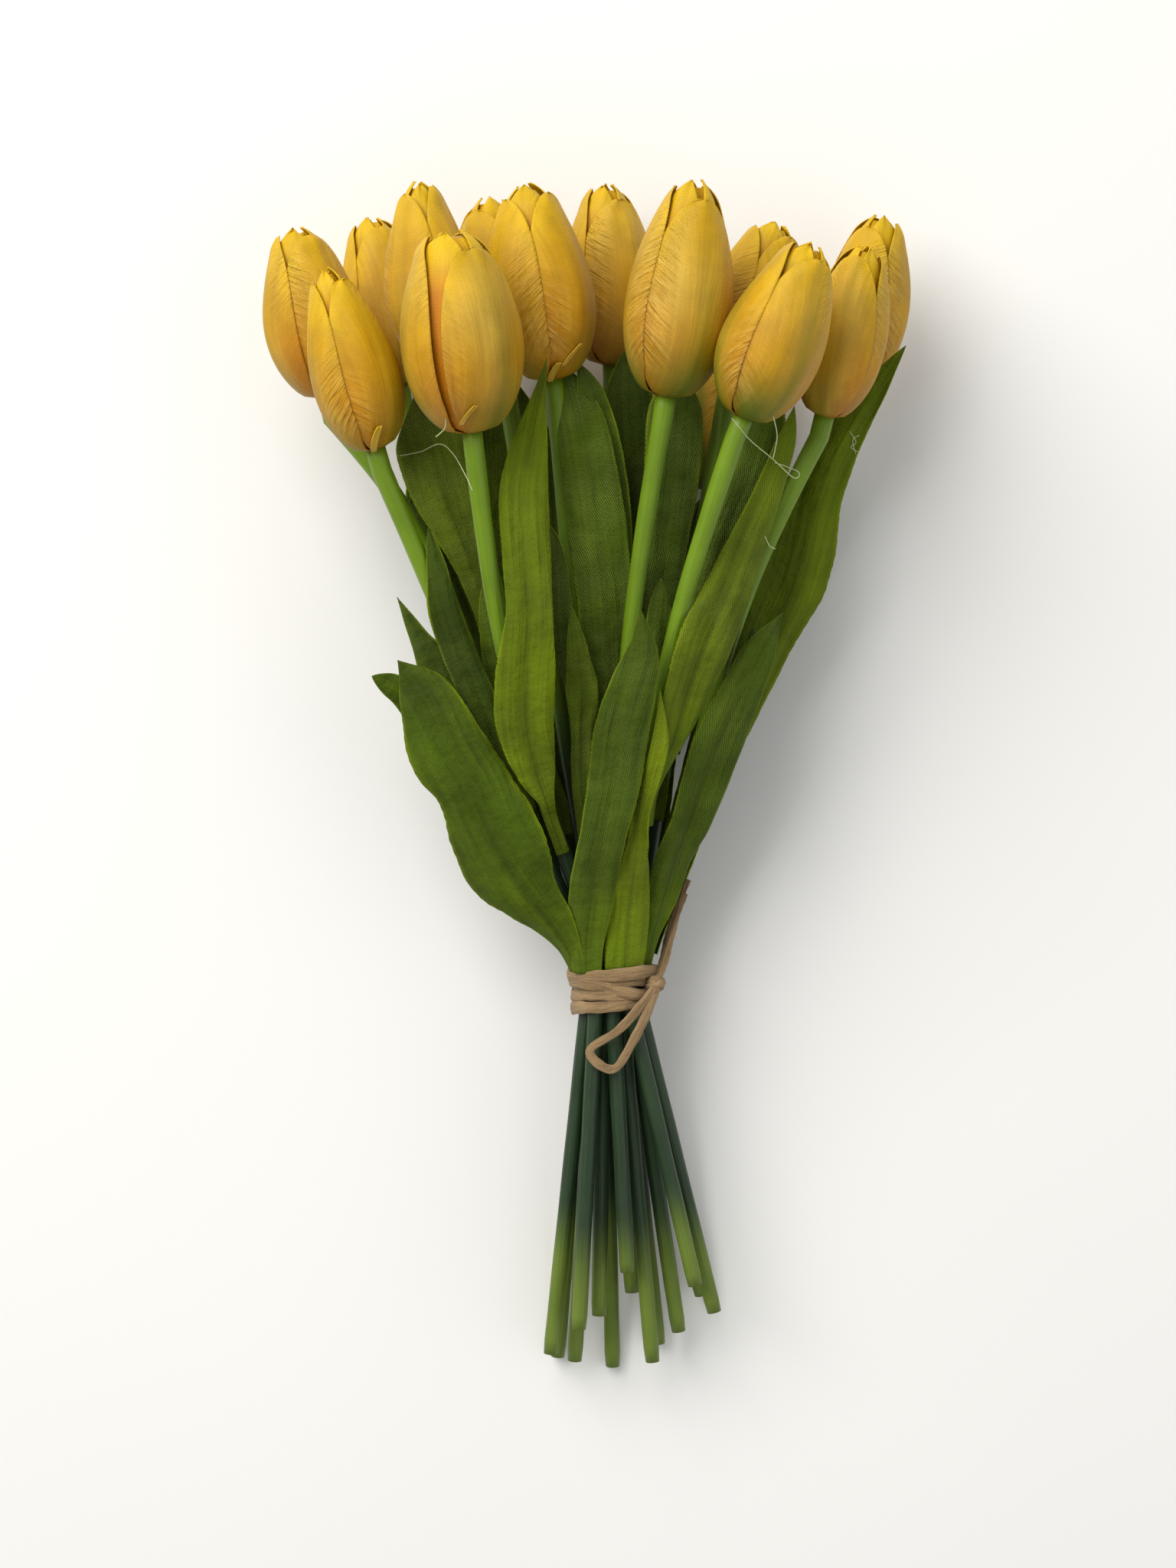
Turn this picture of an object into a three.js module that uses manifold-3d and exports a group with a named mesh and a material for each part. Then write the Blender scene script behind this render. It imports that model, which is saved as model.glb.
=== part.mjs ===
// A bunch of fourteen yellow tulips of fabric and plastic, tied with raffia and laid on its back.
// Millimetres, +Z up, +Y from the tie towards the blooms. Places are measured from the middle of
// the tie across (x) and along (y), and from the table up (z). The last lines move the whole
// bunch so that the origin is at the bottom centre of its box.
import * as THREE from 'three';
import Module from 'manifold-3d';

const { Manifold, Mesh: SolidMesh } = await loadManifold();

// --- Driving dimensions -------------------------------------------------------------------
const STEM_RADIUS = 2.3;
const STEM_TOP = { radius: 2.9, length: 70 }; // it swells over this length to the bloom
const STEM_SIDES = 6;
const SEAT_PITCH = 4.9; // between stem axes where the raffia holds them
const SEAT_ROWS = [[3, 1.5], [4, 0.5], [3, -0.5], [4, -1.5]]; // stems in a row, rows above centre
const TIE_HEIGHT = 26; // middle of the tie above the table
const NECK = 6; // straight top of a stem, in line with its bloom
const GAP = 0.3; // between pieces that touch
const FAN_LENGTH = 110; // the lower ends are measured this far below the tie
const FAN = { up: 1.0, drop: 10.67 }; // how far it opens upwards, and how far it sinks
const HELD = 4; // the stems run side by side this far above and below the middle of the tie

const PETAL_THICK = 1.3; // of an inner petal
const PETAL_LIFT = 0.9; // how far one edge rises over the next petal
const GROOVE_DEPTH = 1.8; // between two outer petals, under their faces
const GAP_DEPTH = 4.0; // the same at their tips
const OUTER_SPAN = { left: 56, right: 61 }; // from the middle of an outer petal to its edges (degrees)
const INNER_SPAN = 46; // the same each side of an inner petal
const INNER_DEPTH = 1.3; // the inner petals under the face of the outer ones
const INNER_EDGE = 0.3; // how far one edge of an inner petal rises over the other
const INNER_START = 0.5; // where an inner petal comes out of the core
const INNER_TIP = 1.03; // its tip, as a part of the bloom's length
const TIP_SPREAD = 0.06; // the tips differ in height by up to this part of the length
const GROOVE_TOP = 0.93; // the grooves stop at this part of the length
const CORE_TOP = 0.9; // the bottom of the hollow between the tips
const PETAL_FOOT = { width: 0.82, height: 0.15 }; // a petal is narrower at its foot, up to this height
const PETAL_TIP = { outer: 7, inner: 5, round: 0.55, least: 0.1 }; // how blunt and round the tips are
const BLOOM_LEVELS = [0, 0.14, 0.4, 0.68, 0.86, 1];
const PROFILE = { foot: 0.064, rise: 0.834, swell: 0.77, round: 0.75 };

const LEAF_THICK = 0.8;
const CLASP_STANDOFF = 3.7; // leaf middle from the axis of the stem that it clasps
const CLASP_LENGTH = 10;
const CLASP_WIDTH = 7;
const CUP = { clasp: 0.45, blade: 0.16, reach: 0.25 }; // depth of the channel over the half width
const EDGE_LAG = 2; // the two edges of a waved leaf are this far out of step (radians)
const LEAF_GRID = { wide: [14, 4], plain: [10, 2] }; // steps along and across

const BAND = { height: 12.5, thick: 2.0, strands: 4, groove: 0.6, slant: 1.0, flare: 0.35, foot: 0.15,
  steps: 24, round: 8 };
const RAFFIA = { width: 3.0, thick: 1.3 };
const KNOT = { at: [12.6, 1.5, 33.5], radius: 3.2 };
const LOOP = [[12.4, 0.5, 36], [8, -5, 39], [1.5, -12, 38.4], [-6.5, -17.5, 37.4], [-4, -22, 37],
  [1, -23, 36.8], [6, -15, 38], [10, -7, 38.6], [13, 0.5, 35.6]];
const TAILS = [
  [[13.4, 2, 33], [16.2, 10, 29.5], [18.4, 19, 28], [21.4, 28, 27.5]],
  [[13.4, 3, 31], [15.6, 12, 26], [18.4, 22, 25], [22.6, 32, 25]],
];

const COLOURS = {
  petal: 0xdcae3e, stem: 0x4c6b24, leaf: 0x55661c, raffia: 0x8e7453,
};

// base and tip of each bloom, its largest radius, the angle of its front seam from straight up
// (degrees, positive to +X), how pointed it is, and how far its stem bows sideways (mm), most of
// all halfway up where `lean` is 1, lower down where it is less and higher up where it is more
const BLOOMS = [
  { base: [-83, 173, 46], tip: [-92, 221.5, 54], radius: 14.5, seam: -20, point: 0.1,
    bow: 9.5, lean: 2.5 },
  { base: [-67.6, 155.4, 72], tip: [-81.3, 205.6, 84], radius: 13.5, seam: -16, point: 0.3,
    bow: 0, lean: 1 },
  { base: [-63.8, 180, 12.5], tip: [-72.6, 230.5, 14.6], radius: 13.8, seam: -35, point: 0.1,
    bow: 0, lean: 1 },
  { base: [-50, 181, 52], tip: [-56.4, 234, 60], radius: 13.8, seam: 15, point: 0.25,
    bow: 0, lean: 1 },
  { base: [-40, 159.6, 78], tip: [-46, 215.1, 92], radius: 17.3, seam: -27, point: 0,
    bow: -7.2, lean: 1 },
  { base: [-17.3, 177, 54], tip: [-25.5, 232.8, 62], radius: 15.7, seam: 0, point: 0.1,
    bow: 0, lean: 1 },
  { base: [-31.8, 181.8, 26], tip: [-37, 233.8, 32], radius: 14, seam: 30, point: 0.1,
    bow: 0, lean: 1 },
  { base: [0, 184.8, 24], tip: [-1.8, 238, 30], radius: 15, seam: -35, point: 0.2,
    bow: 0, lean: 1 },
  { base: [14.8, 170.4, 70], tip: [23.2, 231, 82], radius: 16.2, seam: -37, point: 0.2,
    bow: -5, lean: 1 },
  { base: [34.6, 177.8, 42], tip: [47.6, 223.6, 50], radius: 14.5, seam: -10, point: 0.1,
    bow: 0, lean: 1 },
  { base: [36.4, 163.5, 80], tip: [55.7, 211.3, 92], radius: 14.8, seam: -27, point: 0.12,
    bow: -7, lean: 1 },
  { base: [61, 166.5, 54], tip: [72.7, 214.9, 64], radius: 12.4, seam: 43, point: 0.1,
    bow: -6, lean: 1.6 },
  { base: [70.3, 177.2, 22], tip: [79.7, 228.9, 30], radius: 13, seam: 25, point: 0.05,
    bow: -7.5, lean: 1.3 },
  { base: [31.8, 147.5, 12.3], tip: [33.2, 201, 15.3], radius: 14, seam: 20, point: 0.1,
    bow: 0, lean: 1 },
];

// x, y of each stem's lower end
const STEM_ENDS = [
  [-18.4, -109.6], [-10, -101], [-16.5, -113], [-11.3, -113], [4.4, -84], [-4, -98],
  [0.2, -116], [6, -92], [12, -112], [20, -104], [24.5, -88], [30.4, -97], [27, -94], [14, -109],
];

// Each leaf clasps stem `stem` at height y = `at`, its outer face turned `face` degrees from
// straight up towards +X, and runs through path points [x, y, z, width, turn]. `wide` gives it a
// finer grid, `wave` and `edge` ripple and scallop its edges, and `hold` is its width at the clasp.
const LEAVES = [
  { name: 'leaf_left_broad', stem: 1, at: 10.5, face: -50, wide: true, wave: 1.3, waves: 2.5,
    edge: 0.08, path: [[-20, 26, 46, 15, -24], [-29.5, 35, 50, 26, -18], [-36, 47, 53.5, 26, -15],
      [-41, 59, 56.5, 22.5, -13], [-47, 69.5, 58.5, 23.5, -12], [-52, 81, 60, 18.5, -10],
      [-57, 89, 60, 12, -10], [-62, 95.5, 60, 5, -10]] },
  { name: 'leaf_left_rolled', stem: 0, at: 37, face: -115, path: [
    [-40, 58, 32.5, 11, -32], [-51, 74, 37, 13, -22], [-61, 86.5, 41, 9, -20], [-70.5, 92, 42, 5, -20]] },
  { name: 'leaf_left_twisted', stem: 0, at: 22, face: 0, path: [
    [-30, 52, 40, 12, -5], [-41, 75, 44, 15, -8], [-50, 92, 48, 13, -10], [-56.5, 103, 50, 6, -20],
    [-62.5, 114.5, 52, 2.5, -40]] },
  { name: 'leaf_left_dark', stem: 2, at: 30, face: 0, path: [
    [-27, 55, 25, 12, 0], [-35.5, 80, 27, 13, 0], [-44, 102, 28, 12, 5], [-51, 122, 29, 10, 5],
    [-56.5, 140, 30, 7, 5], [-59, 154, 30, 3, 5]] },
  { name: 'leaf_left_woven', stem: 3, at: 70, face: 0, wide: true, wave: 0.8, waves: 1.5, path: [
    [-31.5, 95, 44.5, 9, 10], [-36, 110, 49.5, 8, 12], [-40, 122, 51.5, 10, 12],
    [-44.3, 134, 53.5, 15, 12], [-49, 147, 56, 20, 10], [-53, 160, 58, 20, 8], [-57, 173, 59, 8, 8]] },
  { name: 'leaf_left_inner', stem: 3, at: 45, face: 32, path: [
    [-21.5, 66, 44.5, 11, 15], [-27.5, 81, 48.5, 11, 15], [-32.5, 96, 52, 10, 15],
    [-35.3, 109, 55, 7, 10], [-37, 121, 57, 3, 10]] },
  { name: 'leaf_left_curl', stem: 1, at: 52, face: 0, path: [
    [-34.5, 75, 54.8, 9, 0], [-40, 88, 58.6, 10, 0], [-45, 100, 62, 10, 0], [-48.6, 111, 65, 9, 0],
    [-50.5, 122, 67, 6, 5], [-53, 134, 66, 3, 10]] },
  { name: 'leaf_front_long', stem: 4, at: 40, face: 0, wide: true, wave: 0.7, waves: 2, path: [
    [-22, 61, 56.5, 9, 0], [-25.3, 78, 63, 17, 5], [-25, 93, 67.5, 17, 5], [-24, 109, 71, 13.5, 0],
    [-24.8, 126, 72.5, 14, 0], [-25.5, 144, 71.5, 14, 0], [-23, 162, 69, 9, 0], [-19, 182, 68, 3, 0]] },
  { name: 'leaf_centre_woven', stem: 5, at: 62, face: 20, wide: true, wave: 0.8, waves: 1.5, path: [
    [-1.5, 84, 45, 11, 8], [-1.8, 100, 48.5, 14.5, 6], [-2.5, 115, 51.5, 16, 4],
    [-4.5, 134, 54, 17, 0], [-7, 152, 56, 14, 0], [-11.5, 172, 58, 5, 0]] },
  { name: 'leaf_centre_frayed', stem: 5, at: 78, face: -75, path: [
    [-15.8, 103, 48.5, 9, -10], [-16.5, 116, 51, 9, 0], [-17.8, 127, 53, 7.5, 0],
    [-20, 137, 54, 3, 0]] },
  { name: 'leaf_front_centre', stem: 4, at: 11, face: 16, hold: 7.6, wide: true, wave: 0.6, waves: 2, path: [
    [-5.2, 30, 48, 11.5, 0], [-2.6, 46, 55.5, 13, -3], [0, 60, 60.5, 15.5, -5], [2, 75, 65, 16, -7],
    [5.5, 88, 68.5, 13.5, -8], [8.2, 99, 70, 9, -5], [7.6, 111, 71, 2.5, 0]] },
  { name: 'leaf_centre_small', stem: 5, at: 30, face: -10, path: [
    [-9, 58, 46, 6, -5], [-9.2, 73, 50, 6.5, -5], [-8.9, 87, 53, 9.5, -8], [-10.2, 97, 55, 7, -10],
    [-12, 112, 57, 3, -20]] },
  { name: 'leaf_front_pale', stem: 10, at: 9, face: 4, hold: 9, path: [
    [6, 28, 46, 11, 0], [7, 40, 50.5, 7, 0], [8, 50, 55, 5, 0], [11, 62, 60.5, 5.5, 0],
    [13.6, 73, 63, 5, 0], [13.4, 88, 66, 2.5, 0]] },
  { name: 'leaf_right_long', stem: 10, at: 48, face: 50, wide: true, wave: 0.7, waves: 2, path: [
    [17.8, 74, 56.5, 12, 35], [21.8, 88, 60, 16, 27], [26.5, 101, 65.5, 16.5, 20], [32.3, 114, 65.5, 13, 18],
    [37.5, 128, 62, 10, 20], [43, 143, 62, 6.5, 15], [48.5, 160, 61, 3, 10]] },
  { name: 'leaf_right_outer', stem: 11, at: 10, face: 50, hold: 6, path: [
    [15.5, 30, 39, 10, 30], [23, 50, 45, 13.5, 28], [30, 70, 50, 15.5, 25], [37, 86, 53, 13, 22],
    [42.7, 99, 54.5, 10.5, 22], [49, 110, 55, 4, 20]] },
  { name: 'leaf_right_rolled', stem: 11, at: 35, face: 60, path: [
    [30.5, 62, 34, 10, 60], [37, 80, 38, 11, 55], [40, 95, 44, 8, 40], [40.5, 106, 49.5, 4, 20]] },
  { name: 'leaf_right_broad', stem: 12, at: 40, face: 0, wide: true, wave: 1.4, waves: 2, edge: 0.05, path: [
    [31, 72, 28, 13, 0], [39.5, 91, 31, 16, 0], [47, 106, 33, 17, 3], [53, 119, 35, 20, 5],
    [56.5, 131, 36, 19, 5], [59.5, 144, 36.5, 15.5, 5], [65, 158, 37, 14, 3], [73, 171, 37, 10, 0],
    [80, 181, 38, 6, -10], [86, 189, 39, 4, -10]] },
  { name: 'leaf_middle_woven', stem: 9, at: 50, face: -20, path: [
    [11.5, 80, 38, 11, 0], [12.5, 102, 42, 12, 5], [14, 125, 45, 12, 5], [17, 148, 48, 12, 5],
    [19.5, 170, 50, 4, 0]] },
  { name: 'leaf_middle_dark', stem: 7, at: 60, face: 0, path: [
    [1.5, 85, 31, 11, 0], [3.5, 108, 34, 12, 0], [5.5, 130, 36, 12, 0], [6.5, 152, 38, 11, 0],
    [6, 176, 40, 3, 0]] },
  { name: 'leaf_middle_twisted', stem: 5, at: 88, face: 75, path: [
    [0, 112, 45.5, 8, 5], [1.5, 127, 48, 9, 5], [0.5, 142, 50.5, 9, 5], [-2, 158, 53, 8, 5],
    [-6, 178, 57, 3, 10]] },
  { name: 'leaf_low_bloom', stem: 13, at: 70, face: 10, path: [
    [20, 95, 24, 13, 0], [24, 116, 27, 14, 0], [28, 136, 29.5, 13, 0], [32, 156, 32.5, 10, 0],
    [34, 170, 34, 3, 0]] },
  { name: 'leaf_right_frayed', stem: 9, at: 75, face: 60, path: [
    [23.5, 98, 44.5, 12, 5], [26, 113, 50, 13, 5], [29.5, 126, 54, 13, 5], [34.5, 140, 57, 12, 5],
    [39, 153, 58, 10, 5], [43, 165, 58, 4, 5]] },
  { name: 'leaf_middle_curl', stem: 8, at: 60, face: 70, path: [
    [9.5, 80, 49, 8, 40], [12, 96, 52, 8, 30], [13.5, 110, 54, 7, 10], [14, 120, 54, 3, 0]] },
  { name: 'leaf_back_left', stem: 2, at: 12, face: 205, path: [
    [-22, 40, 10.5, 15, 190], [-31, 62, 7.5, 17, 190], [-41, 82, 5.5, 15, 190],
    [-48, 98, 5, 10, 190], [-53, 110, 5, 3, 190]] },
  { name: 'leaf_back_middle', stem: 6, at: 20, face: 180, path: [
    [-11, 40, 13, 14, 180], [-17, 66, 12, 17, 180], [-23, 92, 10, 17, 180],
    [-31, 118, 9.5, 14, 180], [-38, 142, 10, 10, 180], [-42, 162, 11, 3, 180]] },
  { name: 'leaf_back_low', stem: 13, at: 16, face: 180, path: [
    [10, 42, 9.5, 12, 180], [12, 66, 8, 14, 180], [14, 90, 6.5, 15, 178], [17.5, 112, 5.5, 12, 178],
    [21, 130, 5, 4, 178]] },
  { name: 'leaf_back_right', stem: 12, at: 10, face: 140, path: [
    [19, 36, 15.5, 10, 165], [26.5, 60, 14.5, 13, 165], [34, 84, 12, 15, 165], [42, 106, 10, 12, 165],
    [48, 122, 8, 4, 165]] },
  { name: 'leaf_back_inner', stem: 7, at: 30, face: 180, path: [
    [1, 55, 17.5, 12, 180], [1, 80, 15.5, 15, 180], [0, 104, 14, 15, 180], [-2, 128, 13, 12, 180],
    [-5, 150, 13, 3, 180]] },
  { name: 'leaf_back_outer', stem: 12, at: 80, face: 150, path: [
    [41, 104, 15, 12, 150], [47.5, 126, 13, 13, 150], [54.5, 146, 11, 11, 150], [61, 162, 10, 3, 150]] },
  { name: 'leaf_back_far', stem: 2, at: 75, face: 185, path: [
    [-41, 98, 12, 14, 185], [-49, 120, 10.5, 15, 185], [-56, 140, 9, 12, 185],
    [-61, 157, 8, 3, 185]] },
];

// --- Small tools --------------------------------------------------------------------------
async function loadManifold() {
  const wasm = await Module();
  wasm.setup();
  return wasm;
}

const vec = (p) => new THREE.Vector3(p[0], p[1], p[2]);
const radians = THREE.MathUtils.degToRad;
const mix = THREE.MathUtils.lerp;

// A smooth value through evenly spaced rows of numbers (Catmull-Rom), u from 0 to 1.
function spline(rows, u) {
  const last = rows.length - 1;
  const span = Math.min(Math.floor(u * last), last - 1);
  const t = u * last - span;
  const row = (i) => rows[Math.min(Math.max(i, 0), last)];
  const [a, b, c, d] = [row(span - 1), row(span), row(span + 1), row(span + 2)];
  return b.map((_, k) => 0.5 * (2 * b[k] + (c[k] - a[k]) * t
    + (2 * a[k] - 5 * b[k] + 4 * c[k] - d[k]) * t * t
    + (3 * b[k] - a[k] - 3 * c[k] + d[k]) * t * t * t));
}

// A closed blade between an outer and an inner grid of points, both split into triangles alike.
function blade(outer, inner) {
  const rows = outer.length;
  const cols = outer[0].length;
  const points = [...outer.flat(), ...inner.flat()];
  const faces = [];
  const quad = (a, b, c, d) => faces.push([a, b, c], [a, c, d]);
  const at = (i, j) => i * cols + j;
  const under = rows * cols;
  for (let i = 0; i + 1 < rows; i += 1) {
    for (let j = 0; j + 1 < cols; j += 1) {
      const [a, b, c, d] = [at(i, j), at(i, j + 1), at(i + 1, j + 1), at(i + 1, j)];
      quad(a, b, c, d);
      faces.push([under + a, under + c, under + b], [under + a, under + d, under + c]);
    }
  }
  const rim = [];
  for (let j = 0; j + 1 < cols; j += 1) rim.push([at(0, j + 1), at(0, j)]);
  for (let i = 0; i + 1 < rows; i += 1) rim.push([at(i, 0), at(i + 1, 0)]);
  for (let j = 0; j + 1 < cols; j += 1) rim.push([at(rows - 1, j), at(rows - 1, j + 1)]);
  for (let i = 0; i + 1 < rows; i += 1) rim.push([at(i + 1, cols - 1), at(i, cols - 1)]);
  for (const [a, b] of rim) quad(a, b, under + b, under + a);
  return { points, faces };
}

// A tube through rings of points, closed by a fan at each end.
function tube(rings) {
  const sides = rings[0].length;
  const points = rings.flat();
  const faces = [];
  for (let i = 0; i + 1 < rings.length; i += 1) {
    for (let j = 0; j < sides; j += 1) {
      const k = (j + 1) % sides;
      const [a, b] = [i * sides + j, i * sides + k];
      faces.push([a, b, b + sides], [a, b + sides, a + sides]);
    }
  }
  const end = (rings.length - 1) * sides;
  for (let j = 1; j + 1 < sides; j += 1) {
    faces.push([0, j + 1, j], [end, end + j, end + j + 1]);
  }
  return { points, faces };
}

function solid({ points, faces }) {
  const vertProperties = new Float32Array(points.flatMap((p) => [p.x, p.y, p.z]));
  const triVerts = new Uint32Array(faces.flat());
  const made = new Manifold(new SolidMesh({ numProp: 3, vertProperties, triVerts }));
  return made.volume() > 0 ? made : solid({ points, faces: faces.map(([a, b, c]) => [a, c, b]) });
}

function geometryOf(body) {
  const mesh = body.getMesh();
  const geometry = new THREE.BufferGeometry();
  const position = new Float32Array(mesh.vertProperties);
  geometry.setAttribute('position', new THREE.BufferAttribute(position, 3));
  geometry.setIndex(new THREE.BufferAttribute(new Uint32Array(mesh.triVerts), 1));
  geometry.computeVertexNormals();
  return geometry;
}

// The largest of the bodies that a join or a cut leaves.
function largest(body) {
  return body.decompose().sort((a, b) => b.volume() - a.volume())[0];
}

const bunch = new THREE.Group();

function addPiece(name, body, colour, roughness) {
  const material = new THREE.MeshStandardMaterial({ color: colour, roughness, metalness: 0 });
  const mesh = new THREE.Mesh(geometryOf(body), material);
  mesh.name = name;
  bunch.add(mesh);
}

// --- Stems --------------------------------------------------------------------------------
const seats = SEAT_ROWS.flatMap(([count, row]) => Array.from({ length: count }, (_, i) => [
  (i - (count - 1) / 2) * SEAT_PITCH, row * SEAT_PITCH * Math.sqrt(0.75)]));

const bloomAxis = (bloom) => vec(bloom.tip).sub(vec(bloom.base)).normalize();
const necks = BLOOMS.map((bloom) => vec(bloom.base).addScaledVector(bloomAxis(bloom), -NECK));

// Seats are shared out so that no two stems cross: each pair is swapped while that turns the
// pattern of seats closer to the pattern of the blooms.
function shareSeats() {
  const taken = BLOOMS.map((_, i) => i);
  const fit = (i, seat) => (seats[seat][0] * necks[i].x
    + seats[seat][1] * (necks[i].z - 2 * TIE_HEIGHT)) / necks[i].y;
  let swapped = true;
  while (swapped) {
    swapped = false;
    for (let i = 1; i < taken.length; i += 1) {
      for (let j = 0; j < i; j += 1) {
        const now = fit(i, taken[i]) + fit(j, taken[j]);
        const other = fit(i, taken[j]) + fit(j, taken[i]);
        if (other > now + 1e-9) {
          [taken[i], taken[j]] = [taken[j], taken[i]];
          swapped = true;
        }
      }
    }
  }
  return taken.map((seat) => seats[seat]);
}
const stemSeats = shareSeats();

// The axis of stem i at a distance y along the bunch.
function stemPoint(i, y) {
  const [across, up] = stemSeats[i];
  if (y >= 0) {
    const part = Math.min(Math.max(y - HELD, 0) / (necks[i].y - HELD), 1);
    const bow = BLOOMS[i].bow * Math.sin(Math.PI * part ** BLOOMS[i].lean);
    return new THREE.Vector3(mix(across, necks[i].x, part) + bow, y,
      mix(TIE_HEIGHT + up, necks[i].z, part));
  }
  const below = Math.max(-y - HELD, 0);
  const part = below / FAN_LENGTH;
  const [endX, endY] = STEM_ENDS[i];
  const x = mix(across, endX, below / (-endY - HELD));
  return new THREE.Vector3(x, y, TIE_HEIGHT + up * (1 + FAN.up * part) - FAN.drop * part);
}

function stemPath(i) {
  const endY = STEM_ENDS[i][1];
  const below = [1, 0.5].map((part) => stemPoint(i, endY * part));
  const above = [0.2, 0.4, 0.6, 0.8, 1].map((part) => stemPoint(i, necks[i].y * part));
  const held = [-HELD, HELD].map((y) => stemPoint(i, y));
  const top = vec(BLOOMS[i].base).addScaledVector(bloomAxis(BLOOMS[i]), -GAP);
  return [...below, ...held, ...above, top];
}

function ringAround(centre, along, radius, sides) {
  const up = new THREE.Vector3(0, 0, 1).addScaledVector(along, -along.z).normalize();
  const side = new THREE.Vector3().crossVectors(along, up);
  return Array.from({ length: sides }, (_, k) => {
    const angle = (2 * Math.PI * (k + 0.5)) / sides;
    return centre.clone().addScaledVector(side, radius * Math.cos(angle))
      .addScaledVector(up, radius * Math.sin(angle));
  });
}

function stemBody(i) {
  const path = stemPath(i);
  return solid(tube(path.map((point, k) => {
    const before = path[Math.max(k - 1, 0)];
    const after = path[Math.min(k + 1, path.length - 1)];
    const along = after.clone().sub(before).normalize();
    const down = Math.min(Math.max((necks[i].y - point.y) / STEM_TOP.length, 0), 1);
    return ringAround(point, along, mix(STEM_TOP.radius, STEM_RADIUS, down), STEM_SIDES);
  })));
}

// --- Blooms -------------------------------------------------------------------------------
const vary = (n) => (n * 0.618034) % 1; // a repeatable spread of values from 0 to 1

function bloomRadius(bloom, t) {
  const belly = Math.sin(Math.PI * (PROFILE.foot + PROFILE.rise * t ** PROFILE.swell));
  return bloom.radius * belly ** PROFILE.round * (1 - bloom.point * t * t);
}

// A point of the bloom at height t of its length, angle from straight up, and radius.
function bloomPoint(bloom, t, angle, radius) {
  const along = bloomAxis(bloom);
  const up = new THREE.Vector3(0, 0, 1).addScaledVector(along, -along.z).normalize();
  const side = new THREE.Vector3().crossVectors(along, up);
  return vec(bloom.base).lerp(vec(bloom.tip), t)
    .addScaledVector(up, radius * Math.cos(angle)).addScaledVector(side, radius * Math.sin(angle));
}

// How much of its full span a petal keeps at height s: rounded at the foot, blunt at the tip.
function petalWidth(s, blunt) {
  return mix(PETAL_FOOT.width, 1, Math.min(s / PETAL_FOOT.height, 1))
    * Math.max((1 - s ** blunt) ** PETAL_TIP.round, PETAL_TIP.least);
}

// Three outer petals round a core: each ring of points runs over the petals' faces and down
// into the grooves between them, which widen into gaps towards the tips.
function bloomHead(bloom, index) {
  const rings = BLOOM_LEVELS.map((s) => [0, 1, 2].flatMap((k) => {
    const middle = radians(bloom.seam + 60 + 120 * k);
    const t = s * (1 - TIP_SPREAD * vary(index * 6 + k));
    const deep = s * GROOVE_TOP;
    const width = petalWidth(s, PETAL_TIP.outer);
    const angle = (v) => middle + v * width * radians(v > 0 ? OUTER_SPAN.right : OUTER_SPAN.left);
    const face = (v) => bloomPoint(bloom, t, angle(v), bloomRadius(bloom, t) + PETAL_LIFT * v);
    const groove = (v) => bloomPoint(bloom, deep, angle(v),
      bloomRadius(bloom, deep) - mix(GROOVE_DEPTH, GAP_DEPTH, s * s));
    return [groove(-1), face(-1), face(-0.33), face(0.33), face(1), groove(1)];
  }));
  const { points, faces } = tube(rings);
  const sides = rings[0].length;
  const top = (rings.length - 1) * sides;
  const sideFaces = faces.slice(0, 2 * sides * (rings.length - 1));
  const foot = points.push(vec(bloom.base)) - 1;
  const apex = points.push(bloomPoint(bloom, CORE_TOP, 0, 0)) - 1;
  for (let j = 0; j < sides; j += 1) {
    const k = (j + 1) % sides;
    sideFaces.push([foot, k, j], [apex, top + j, top + k]);
  }
  return solid({ points, faces: sideFaces });
}

// An inner petal, which shows in the gap between two outer ones.
function innerPetal(bloom, index, k) {
  const tip = INNER_TIP - TIP_SPREAD * vary(index * 6 + 3 + k);
  const grid = (thick) => [0, 0.5, 1].map((s) => [-1, 0, 1].map((v) => {
    const t = mix(INNER_START, tip, s);
    const width = petalWidth(mix(INNER_START, 1, s), PETAL_TIP.inner);
    const angle = radians(bloom.seam + 120 * k + v * INNER_SPAN * width);
    return bloomPoint(bloom, t, angle, bloomRadius(bloom, t) - INNER_DEPTH + INNER_EDGE * v - thick);
  }));
  return solid(blade(grid(0), grid(PETAL_THICK)));
}

function bloomBody(bloom, index) {
  const petals = [0, 1, 2].map((k) => innerPetal(bloom, index, k));
  return largest(Manifold.union([bloomHead(bloom, index), ...petals]));
}

// --- Leaves -------------------------------------------------------------------------------
const outward = (turn) => new THREE.Vector3(Math.sin(radians(turn)), 0, Math.cos(radians(turn)));

// The path of a leaf with its clasp, as rows of x, y, z, width, turn.
function leafRows(leaf) {
  const clasp = [leaf.at, leaf.at + CLASP_LENGTH].map((y) => {
    const p = stemPoint(leaf.stem, y).addScaledVector(outward(leaf.face), CLASP_STANDOFF);
    return [p.x, p.y, p.z, leaf.hold ?? CLASP_WIDTH, leaf.face];
  });
  return [...clasp, ...leaf.path];
}

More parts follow.
